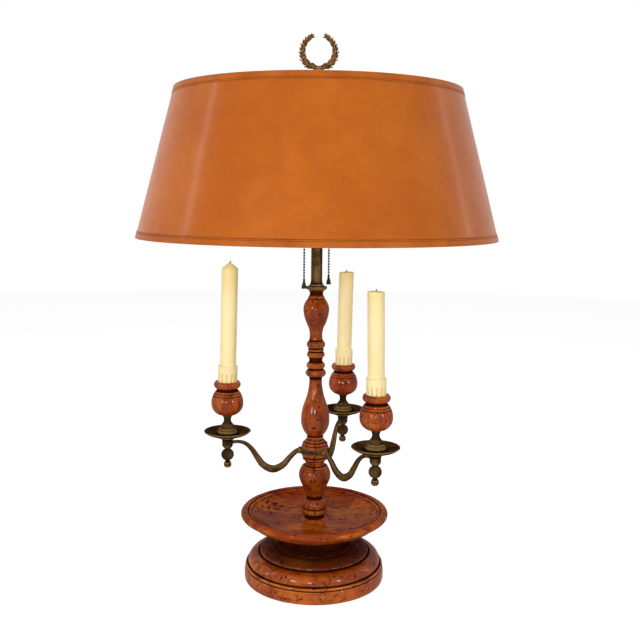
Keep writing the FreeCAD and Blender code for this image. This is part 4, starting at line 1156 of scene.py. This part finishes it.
def wax_mesh(side, segments=96):
    """The candle as a grid of rings, slumped and knocked a little out of true."""
    top = CANDLE_TOP[side]
    heights = [CANDLE_FOOT + k * 1.2 for k in range(37)]
    heights += [WAX_COLLAR_TOP, WAX_COLLAR_TOP + 0.25]
    heights += list(np.arange(WAX_COLLAR_TOP + 2.0, top - 3.0, 3.0))
    rows = [(height, 1.0) for height in heights] + candle_crown(side)
    vertices, darkened = [], []
    for height, share in rows:
        for turn in around(segments):
            x, y = math.cos(turn), math.sin(turn)
            spot = Vector((x * 1.4, y * 1.4, height * 0.03 + CANDLE_SEED[side]))
            radius = (candle_radius(height, turn) + min(0.0, noise.noise(spot) * 0.16)) * share
            tilt = 0.0
            if height > top - 2.0:
                dip = abs(noise.noise(Vector((turn * 2.0, share * 3.0, 7.0))))
                tilt = CANDLE_SLOPE[side] * radius * x - 0.25 * dip
            vertices.append((radius * x * MM, radius * y * MM, (height + tilt) * MM))
            # Values for the painted shade of the flutes.
            darkened.append(flute(turn) * 0.8 if height < FLUTE_TOP else 0.0)
    faces = wall(len(rows), segments) + ends(len(rows), segments)
    piece = object_from(side + "_wax", vertices, faces)
    write_attribute(piece, "hollow", darkened)
    return piece


def wick_mesh(side, segments=10):
    """A short burnt wick, bent over at the end."""
    base = CANDLE_TOP[side] + CANDLE_TIP[side] - 1.2
    vertices = []
    for shift, lift, radius in WICK:
        for turn in around(segments):
            thread = radius * (1.0 + 0.12 * math.cos(3 * turn + lift * 2.0))
            x, y = shift + thread * math.cos(turn), thread * math.sin(turn)
            vertices.append((x * MM, y * MM, (base + lift) * MM))
    faces = ends(len(WICK), segments) + wall(len(WICK), segments)
    piece = object_from(side + "_wick", vertices, faces)
    write_attribute(piece, "hollow")
    return piece


def make_candles():
    for side in SIDES:
        wax = wax_mesh(side)
        wick = wick_mesh(side)
        wax.data.materials.append(finish("candle wax"))
        wick.data.materials.append(finish("burnt wick"))
        piece = joined(side + "_taper", [wax, wick])
        lean, toward = CANDLE_LEAN[side]
        heading = math.radians(toward)
        hinge = Vector((-math.sin(heading), math.cos(heading), 0.0))
        tilt = Matrix.Rotation(math.radians(lean), 4, hinge)
        foot = Vector((0.0, 0.0, CANDLE_FOOT * MM))
        piece.data.transform(Matrix.Translation(foot) @ tilt @ Matrix.Translation(-foot))
        piece.data.transform(Matrix.Translation((*arm_axis(side), 0.0)))
        dress(piece, None, "candle_wax", side + "_candle", side + "_candle")


def bell_mesh(name, centre, segments=48):
    """A bell with a rolled lip, and eight ribs round its skirt."""
    vertices = []
    for level, (radius, height) in enumerate(BELL):
        rib = 0.16 if 4 <= level <= 9 else 0.0
        for turn in around(segments):
            r = radius - rib * (0.5 - 0.5 * math.cos(8 * turn))
            vertices.append((
                centre[0] + r * MM * math.cos(turn),
                centre[1] + r * MM * math.sin(turn),
                (BELL_BOTTOM + height) * MM,
            ))
    faces = ends(len(BELL), segments, True) + wall(len(BELL), segments, True)
    piece = object_from(name, vertices, faces)
    write_attribute(piece, "hollow")
    return piece


def make_chains():
    tree = bead_tree()
    sizes = bpy.context.scene.lamp_sizes
    for end in ENDS:
        bearing = math.radians(SOCKET_BEARING[end])
        x = GUIDE_REACH * MM * math.cos(bearing)
        y = GUIDE_REACH * MM * math.sin(bearing)
        beads = grown(end + "_beads", tree, {
            "Beads": sizes.chain_beads,
            "Pitch": sizes.bead_pitch,
            "Bead Radius": sizes.bead_size / 2,
            "Wire Radius": sizes.bead_size / 6,
            "Start": (x, y, (BELL_TOP + 1.2) * MM),
            "Material": finish("chain brass"),
        })
        write_attribute(beads, "hollow")
        dress(beads, finish("chain brass"), "chain_brass", end + "_chain", end + "_pull_chain")
        bell = bell_mesh(end + "_bell", (x, y))
        dress(bell, finish("chain brass"), "chain_brass", end + "_chain", end + "_chain_bell")


def shade_radius(height):
    """Outer radius of the shade, tape included, at a height."""
    share = (height - SHADE_BOTTOM) / (SHADE_TOP - SHADE_BOTTOM)
    return SHADE_BOTTOM_RADIUS + share * (SHADE_TOP_RADIUS - SHADE_BOTTOM_RADIUS)


def make_skin():
    """The paper cone: outside glazed, inside lined."""
    rows, segments = 66, 288
    low, high = SHADE_BOTTOM + PAPER_EDGE, SHADE_TOP - PAPER_EDGE
    levels = [low + (high - low) * k / rows for k in range(rows + 1)]
    outline = [(shade_radius(level) - PAPER_OUTSIDE, level) for level in levels]
    outline += [(shade_radius(level) - PAPER_INSIDE, level) for level in reversed(levels)]
    vertices = []
    for radius, height in outline:
        edge = rise(min(height - low, high - height), 0.0, 30.0)
        for turn in around(segments):
            x, y = math.cos(turn), math.sin(turn)
            swell = noise.noise(Vector((x * 2.2, y * 2.2, height * 0.012))) * 0.35
            r = (radius + min(0.25, swell) * edge) * MM
            vertices.append((r * x, r * y, height * MM))
    faces = wall(len(outline), segments, closed=True)
    skin = object_from("shade_paper", vertices, faces)
    skin.data.materials.append(finish("shade paper"))
    skin.data.materials.append(finish("shade liner"))
    inner = (rows + 1) * segments
    for polygon in skin.data.polygons:
        polygon.material_index = int(polygon.index >= inner)
    dress(skin, None, "shade_leather", "shade", "shade_skin")


def tape_outline(edge, way):
    """A folded tape's outline from its outer lap round the edge to its inner lap, with two
    tooled lines near the lap. way is 1 at the bottom edge and -1 at the top one."""
    def at(inset, lift):
        height = edge + way * lift
        return (shade_radius(height) - inset, height)

    points = [at(0.62, TAPE_WIDTH), at(0.12, TAPE_WIDTH - 0.05), at(0.0, TAPE_WIDTH - 0.4)]
    for line in (TAPE_WIDTH - 1.1, TAPE_WIDTH - 2.9):
        points += [at(0.0, line + 0.35), at(0.38, line), at(0.0, line - 0.35)]
    return points + [
        at(0.0, 4.0), at(0.0, 1.6), at(0.12, 0.6), at(0.5, 0.12), at(1.2, 0.0), at(3.8, 0.0),
        at(4.6, 0.2), at(5.0, 0.8), at(5.0, 3.6), at(3.2, 5.4), at(2.1, 7.0), at(1.55, 7.0),
    ]


def make_trim():
    bottom = lathe("bottom_tape", tape_outline(SHADE_BOTTOM, 1)[::-1], 288, 1.2)
    top = lathe("top_tape", tape_outline(SHADE_TOP, -1), 288, 1.2)
    piece = joined("shade_tapes", [bottom, top])
    dress(piece, finish("trim tape"), "shade_tape", "shade", "shade_trim")


def leaf_whorl():
    """Four laurel leaves round a stalk along +Z, each cupped and with a raised rib."""
    vertices, faces, darkened, rub_and_highlight = [], [], [], []
    chance = random.Random(5)
    rows, count = len(LEAF_STATIONS), len(LEAF_SECTION)
    for k in range(4):
        turn = Matrix.Rotation(math.pi / 2 * k + chance.uniform(-0.1, 0.1), 4, "Z")
        lean = Matrix.Rotation(math.radians(LEAF_LEAN + chance.uniform(-2, 3)), 4, "Y")
        length = LEAF_LENGTH * chance.uniform(0.94, 1.04)
        first = len(vertices)
        for station in LEAF_STATIONS:
            width, thickness = 0.05, 0.2
            if station < 1.0:
                thickness = 1.0
                width = LEAF_WIDTH * math.sin(math.pi * (station * 0.94 + 0.06)) ** 0.6
            for across, lift in LEAF_SECTION:
                out = 1.4 + lift * thickness * 1.3 + 0.5 * station * station
                point = Vector((out, across * width, station * length - 1.0)) * MM
                vertices.append(turn @ lean @ point)
                darkened.append(0.55 * (1.0 - station) + (0.3 if abs(across) == 0.5 else 0.0))
                # The rib and the leaf's edges lightened, as wear and a painted highlight.
                rub_and_highlight.append(0.9 if lift > 0.9 or abs(across) == 1.0 else 0.2 * station)
        for face in wall(rows, count, True) + ends(rows, count, True):
            faces.append([first + corner for corner in face])
    whorl = object_from("leaf_whorl", [tuple(v) for v in vertices], faces)
    write_attribute(whorl, "hollow", darkened)
    write_attribute(whorl, "crest", rub_and_highlight)
    return whorl


def make_finial():
    base = lathe("finial_foot", FINIAL_BASE, 64, 0.4)
    dress(base, finish("finial brass"), "antique_brass", "finial", "finial_base")
    whorl = leaf_whorl()
    tree = laurel_tree()
    sizes = bpy.context.scene.lamp_sizes
    parts = []
    for name, way in (("right", 1.0), ("left", -1.0)):
        parts.append(grown(name + "_laurel", tree, {
            "Rows": sizes.leaf_rows,
            "Radius": sizes.wreath_radius,
            "Start Angle": -math.pi / 2 + way * math.radians(7.0),
            "Sweep Angle": way * math.radians(143.0),
            "Stalk Radius": 0.0021,
            "Twist": math.radians(45.0),
            "Tip Scale": 0.62,
            "Whorl": whorl,
            "Centre": (0.0, 0.0, WREATH_CENTRE * MM),
            "Material": finish("finial brass"),
        }))
    bpy.data.objects.remove(whorl)
    tie = lathe("tie", WREATH_TIE, 40, 0.4)
    tie.data.transform(Matrix.Rotation(math.pi / 2, 4, "Y"))
    lowest = WREATH_CENTRE * MM - sizes.wreath_radius
    tie.data.transform(Matrix.Translation((0.0, 0.0, lowest)))
    parts += [tie, lathe("post", WREATH_POST, 40, 0.4)]
    piece = joined("laurel_wreath", parts)
    place = vertex_arrays(piece.data)[0]
    place[:, 2] = np.clip(place[:, 2], WREATH_FOOT * MM, WREATH_TOP * MM)
    piece.data.vertices.foreach_set("co", place.ravel())
    piece.data.update()
    dress(piece, finish("finial brass"), "antique_brass", "finial", "finial_wreath")


# The frame's own pieces that show as they are; front_ and rear_ are left off their names
CARRIED = {
    "felt_pad": "felt",
    "cord_bushing": "old brass",
    "base_nut_and_washer": "plated steel",
    "lamp_pipe": "plated steel",
    "shade_rings": "plated steel",
    "shade_spider": "socket brass",
    "shade_rod": "plated steel",
    "cluster_body": "tube brass",
    "socket_cap": "socket brass",
    "socket_shell": "socket brass",
    "socket_core": "resin",
    "screw_shell": "socket brass",
    "chain_guide": "socket brass",
    "bulb_base": "bulb brass",
    "bulb_glass": "frosted glass",
}


def finish_carried():
    """Finishes the frame's own pieces that show as they are."""
    for name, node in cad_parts.items():
        end, _, rest = name.partition("_")
        plain = rest if end in ENDS else name
        if plain in CARRIED:
            node.data.materials.clear()
            node.data.materials.append(finish(CARRIED[plain]))


# Stage

# The camera in metres, degrees and pixels, fitted to the photograph's frame
CAMERA_DISTANCE = 1.2112
CAMERA_HEIGHT = 0.5433
CAMERA_DOWN = 7.91
CAMERA_ROLL = 0.60
CAMERA_SHIFT = 0.0053
FOCAL_PIXELS = 874.1
FRAME_PIXELS = 640.0
SENSOR_MM = 36.0

# Soft lights: name, bearing with 0 in front of the lamp and 90 at its right, height,
# distance, size, power, and the height each is aimed at
LIGHTS = (
    ("left strip", -84.0, 0.75, 1.6, (0.10, 1.4), 4.0, 0.5),
    ("left front", -34.0, 0.80, 2.2, (0.30, 0.5), 15.0, 0.35),
    ("right front", 42.0, 0.72, 2.1, (0.20, 0.5), 11.0, 0.35),
    ("front", -6.0, 0.68, 2.3, (0.26, 0.30), 13.0, 0.35),
    ("right side", 104.0, 0.9, 1.9, (0.16, 1.4), 2.5, 0.5),
    ("top", 180.0, 2.2, 0.4, (1.2, 1.2), 6.0, 0.35),
)
WHITE = (1.0, 1.0, 1.0, 1.0)

# How bright the world is on the object, how far the floor is lifted towards white where it
# is seen, and the radii of the floor's rings in metres
WORLD_LIGHT = 0.30
FLOOR_LIFT = 0.79
FLOOR_RINGS = (0.2, 0.5, 1.0, 2.0, 4.0)


def make_camera():
    data = bpy.data.cameras.new("camera")
    data.sensor_width = SENSOR_MM
    data.lens = SENSOR_MM * FOCAL_PIXELS / FRAME_PIXELS
    data.clip_end = 50.0
    camera = added("camera", data)
    place = Matrix.Translation((CAMERA_SHIFT, -CAMERA_DISTANCE, CAMERA_HEIGHT))
    tilt = Euler((math.radians(90.0 - CAMERA_DOWN), 0.0, 0.0)).to_matrix().to_4x4()
    roll = Matrix.Rotation(math.radians(CAMERA_ROLL), 4, "Z")
    camera.matrix_world = place @ tilt @ roll
    bpy.context.scene.camera = camera


def soft_box(name, bearing, height, distance, size, power, aim):
    """A rectangular soft light that looks at the lamp's axis."""
    data = bpy.data.lights.new(name, "AREA")
    data.shape = "RECTANGLE"
    data.size, data.size_y = size
    data.energy = power
    turn = math.radians(bearing)
    place = Vector((math.sin(turn) * distance, -math.cos(turn) * distance, height))
    facing = (Vector((0.0, 0.0, aim)) - place).to_track_quat("-Z", "Y").to_matrix().to_4x4()
    added(name, data).matrix_world = Matrix.Translation(place) @ facing


def seen_directly(tree):
    """1 for rays from the camera, from a reflection or through glass, 0 for all others."""
    ray = add(tree, "ShaderNodeLightPath")
    share = ray.outputs["Is Camera Ray"]
    for kind in ("Is Glossy Ray", "Is Transmission Ray"):
        either = add(tree, "ShaderNodeMath", {"operation": "MAXIMUM"}, {
            0: share, 1: ray.outputs[kind]})
        share = either.outputs[0]
    return share


def show_brighter(tree, plain, bright, end):
    """Ends a tree in plain, with bright in its place wherever it is seen directly."""
    blend = add(tree, "ShaderNodeMixShader", None, {
        0: seen_directly(tree), 1: plain.outputs[0], 2: bright.outputs[0]})
    tree.links.new(blend.outputs[0], tree.nodes[end].inputs["Surface"])


def pale_surface(name, colour, lift):
    """A plain pale surface, lifted to white where it is seen, that keeps its shadow."""
    sketch = Sketch(name, 0.9, Specular_IOR_Level=0.0)
    sketch.surface.inputs["Base Color"].default_value = solid(colour)
    bright = sketch.node("ShaderNodeBsdfPrincipled", None, {
        "Base Color": solid(colour), "Roughness": 0.9, "Specular IOR Level": 0.0,
        "Emission Color": WHITE, "Emission Strength": lift,
    })
    show_brighter(sketch.tree, sketch.surface, bright, "Material Output")
    return sketch.material


def make_world():
    """Even white light, weak on the object and full white where it is seen."""
    world = bpy.data.worlds.new("studio")
    bpy.context.scene.world = world
    world.use_nodes = True
    tree = world.node_tree
    light = tree.nodes["Background"]
    light.inputs["Color"].default_value = WHITE
    light.inputs["Strength"].default_value = WORLD_LIGHT
    bright = add(tree, "ShaderNodeBackground", None, {"Color": WHITE, "Strength": 1.0})
    show_brighter(tree, light, bright, "World Output")


def make_floor(sides=40):
    """A round floor of rings about a middle point."""
    vertices = [(0.0, 0.0, 0.0)]
    for radius in FLOOR_RINGS:
        for turn in around(sides):
            vertices.append((radius * math.cos(turn), radius * math.sin(turn), 0.0))
    faces = [[0, 1 + k, 1 + (k + 1) % sides] for k in range(sides)]
    for face in wall(len(FLOOR_RINGS), sides, True):
        faces.append([1 + corner for corner in face])
    floor = object_from("floor", vertices, faces)
    colour = bpy.context.scene.lamp_colours.floor
    floor.data.materials.append(pale_surface("floor", colour, FLOOR_LIFT))


def make_stage():
    bpy.context.scene.view_settings.view_transform = "Standard"
    make_camera()
    make_world()
    make_floor()
    for light in LIGHTS:
        soft_box(*light)


# Add-on

def colour_property(name, default, description):
    return FloatVectorProperty(name=name, subtype="COLOR", size=3, min=0.0, max=1.0,
                               default=default, description=description)


class LampSizes(bpy.types.PropertyGroup):
    """Sizes that a user would change without touching the frame"""

    chain_beads: IntProperty(name="Chain Beads", default=32, min=2,
                             description="Beads on each pull chain")
    bead_pitch: FloatProperty(name="Bead Pitch", default=0.0039, unit="LENGTH",
                              description="Distance from one bead to the next")
    bead_size: FloatProperty(name="Bead Size", default=0.0030, unit="LENGTH",
                             description="Diameter of a bead")
    leaf_rows: IntProperty(name="Leaf Rows", default=13, min=3,
                           description="Whorls of leaves on a branch")
    wreath_radius: FloatProperty(name="Wreath Radius", default=0.0219, unit="LENGTH",
                                 description="Radius of the wreath's stalks")


class LampColours(bpy.types.PropertyGroup):
    """Colours of the lamp's finishes"""

    wood_light: colour_property("Wood Light", (0.56, 0.13, 0.01), "Amber of the rubbed wood")
    wood_red: colour_property("Wood Red", (0.27, 0.033, 0.005), "Red-brown of the clouded wood")
    wood_dark: colour_property("Wood Dark", (0.085, 0.01, 0.003), "Brown of the grain lines")
    # Painted highlight and wear on the crests of the mouldings.
    wood_edge_highlight: colour_property("Wood Edge", (0.78, 0.25, 0.045), "Rubbed edges of the mouldings")
    # Stain in the hollows, and painted shade under the dish and on the stem.
    wood_stain_and_shade: colour_property("Wood Stain", (0.011, 0.002, 0.0015), "Dark stain in hollows")
    wood_pit: colour_property("Wood Pit", (0.008, 0.0035, 0.0025), "Black of pits and cracks")
    # Brass worn bright, which also lightens the crests as a painted highlight.
    brass_light: colour_property("Brass Light", (0.22, 0.122, 0.042), "Rubbed olive gold")
    brass_warm: colour_property("Brass Warm", (0.52, 0.25, 0.085), "Rubbed copper gold")
    brass_dark: colour_property("Brass Dark", (0.038, 0.02, 0.008), "Brown patina")
    brass_black: colour_property("Brass Black", (0.008, 0.005, 0.003), "Dirt in the hollows")
    shade_light: colour_property("Shade Light", (0.52, 0.13, 0.01), "Lighter caramel")
    shade_deep: colour_property("Shade Deep", (0.455, 0.1, 0.005), "Deeper caramel")
    shade_red: colour_property("Shade Red", (0.4, 0.08, 0.007), "Redder mottling")
    shade_pale: colour_property("Shade Pale", (0.62, 0.21, 0.035), "Pale tooth of the paper")
    shade_fleck: colour_property("Shade Fleck", (0.035, 0.01, 0.004), "Flecks and tooled lines")
    tape: colour_property("Tape", (0.49, 0.122, 0.014), "Tan of the tape")
    tape_dark: colour_property("Tape Dark", (0.38, 0.082, 0.01), "Darker tan of the tape")
    liner: colour_property("Liner", (0.80, 0.74, 0.60), "Cream inside of the shade")
    liner_shadow: colour_property("Liner Shadow", (0.70, 0.62, 0.47), "Aged cream of the liner")
    wax: colour_property("Wax", (0.99, 0.81, 0.44), "Ivory wax")
    wax_warm: colour_property("Wax Warm", (0.94, 0.71, 0.31), "Yellower wax")
    # Painted shade in the flutes, and the scuffs.
    wax_shade_and_scuff: colour_property("Wax Deep", (0.72, 0.46, 0.14), "Wax in the flutes")
    floor: colour_property("Floor", (0.55, 0.55, 0.55), "Pale floor")


class PieceOperator:
    """What every piece's operator shares"""

    bl_options = {"REGISTER", "UNDO"}
    makers = ()

    def execute(self, context):
        for make in self.makers:
            make()
        return {"FINISHED"}


class LAMP_OT_stage(PieceOperator, bpy.types.Operator):
    """Sets the floor, the soft lights and the camera"""

    bl_idname = "lamp.stage"
    bl_label = "Stage"
    makers = (make_stage,)


class LAMP_OT_base(PieceOperator, bpy.types.Operator):
    """Turns the plinth and the neck above it"""

    bl_idname = "lamp.base"
    bl_label = "Base"
    makers = (make_base,)


class LAMP_OT_dish(PieceOperator, bpy.types.Operator):
    """Turns the wide dish"""

    bl_idname = "lamp.dish"
    bl_label = "Dish"
    makers = (make_dish,)


class LAMP_OT_stem(PieceOperator, bpy.types.Operator):
    """Turns the two knops and the baluster"""

    bl_idname = "lamp.stem"
    bl_label = "Stem"
    makers = (make_stem,)


class LAMP_OT_tube(PieceOperator, bpy.types.Operator):
    """Makes the brass cap, collar and tube"""

    bl_idname = "lamp.tube"
    bl_label = "Tube"
    makers = (make_tube,)


class LAMP_OT_arms(PieceOperator, bpy.types.Operator):
    """Makes the band and its three arms"""

    bl_idname = "lamp.arms"
    bl_label = "Arms"
    makers = (make_arms,)


class LAMP_OT_pans(PieceOperator, bpy.types.Operator):
    """Makes the drip pans, their drops and the pedestals"""

    bl_idname = "lamp.pans"
    bl_label = "Pans"
    makers = (make_pans,)


class LAMP_OT_cups(PieceOperator, bpy.types.Operator):
    """Turns the three wood cups"""

    bl_idname = "lamp.cups"
    bl_label = "Cups"
    makers = (make_cups,)


class LAMP_OT_candles(PieceOperator, bpy.types.Operator):
    """Makes the three candles and their wicks"""

    bl_idname = "lamp.candles"
    bl_label = "Candles"
    makers = (make_candles,)


class LAMP_OT_chains(PieceOperator, bpy.types.Operator):
    """Strings the pull chains and hangs their bells"""

    bl_idname = "lamp.chains"
    bl_label = "Chains"
    makers = (make_chains,)


class LAMP_OT_shade(PieceOperator, bpy.types.Operator):
    """Makes the shade's paper and its two tapes"""

    bl_idname = "lamp.shade"
    bl_label = "Shade"
    makers = (make_skin, make_trim)


class LAMP_OT_finial(PieceOperator, bpy.types.Operator):
    """Makes the finial's foot and its laurel wreath"""

    bl_idname = "lamp.finial"
    bl_label = "Finial"
    makers = (make_finial,)


class LAMP_OT_fittings(PieceOperator, bpy.types.Operator):
    """Finishes the sockets, bulbs, spider and other fittings of the frame"""

    bl_idname = "lamp.fittings"
    bl_label = "Fittings"
    makers = (finish_carried,)


OPERATORS = (
    LAMP_OT_stage, LAMP_OT_base, LAMP_OT_dish, LAMP_OT_stem, LAMP_OT_tube, LAMP_OT_arms,
    LAMP_OT_pans, LAMP_OT_cups, LAMP_OT_candles, LAMP_OT_chains, LAMP_OT_shade, LAMP_OT_finial,
    LAMP_OT_fittings,
)


class LAMP_PT_panel(bpy.types.Panel):
    """Lists the lamp's pieces and their sizes and colours"""

    bl_idname = "LAMP_PT_panel"
    bl_label = "Bouillotte Lamp"
    bl_space_type = "VIEW_3D"
    bl_region_type = "UI"
    bl_category = "Lamp"

    def draw(self, context):
        for operator in OPERATORS:
            self.layout.operator(operator.bl_idname)
        for group in (context.scene.lamp_sizes, context.scene.lamp_colours):
            box = self.layout.box()
            for name in group.__annotations__:
                box.prop(group, name)


CLASSES = (LampSizes, LampColours, *OPERATORS, LAMP_PT_panel)


def register():
    for item in CLASSES:
        bpy.utils.register_class(item)
    bpy.types.Scene.lamp_sizes = PointerProperty(type=LampSizes)
    bpy.types.Scene.lamp_colours = PointerProperty(type=LampColours)


def unregister():
    del bpy.types.Scene.lamp_colours
    del bpy.types.Scene.lamp_sizes
    for item in reversed(CLASSES):
        bpy.utils.unregister_class(item)


def main():
    register()
    for operator in OPERATORS:
        family, action = operator.bl_idname.split(".")
        getattr(getattr(bpy.ops, family), action)()


if __name__ == "__main__":
    main()
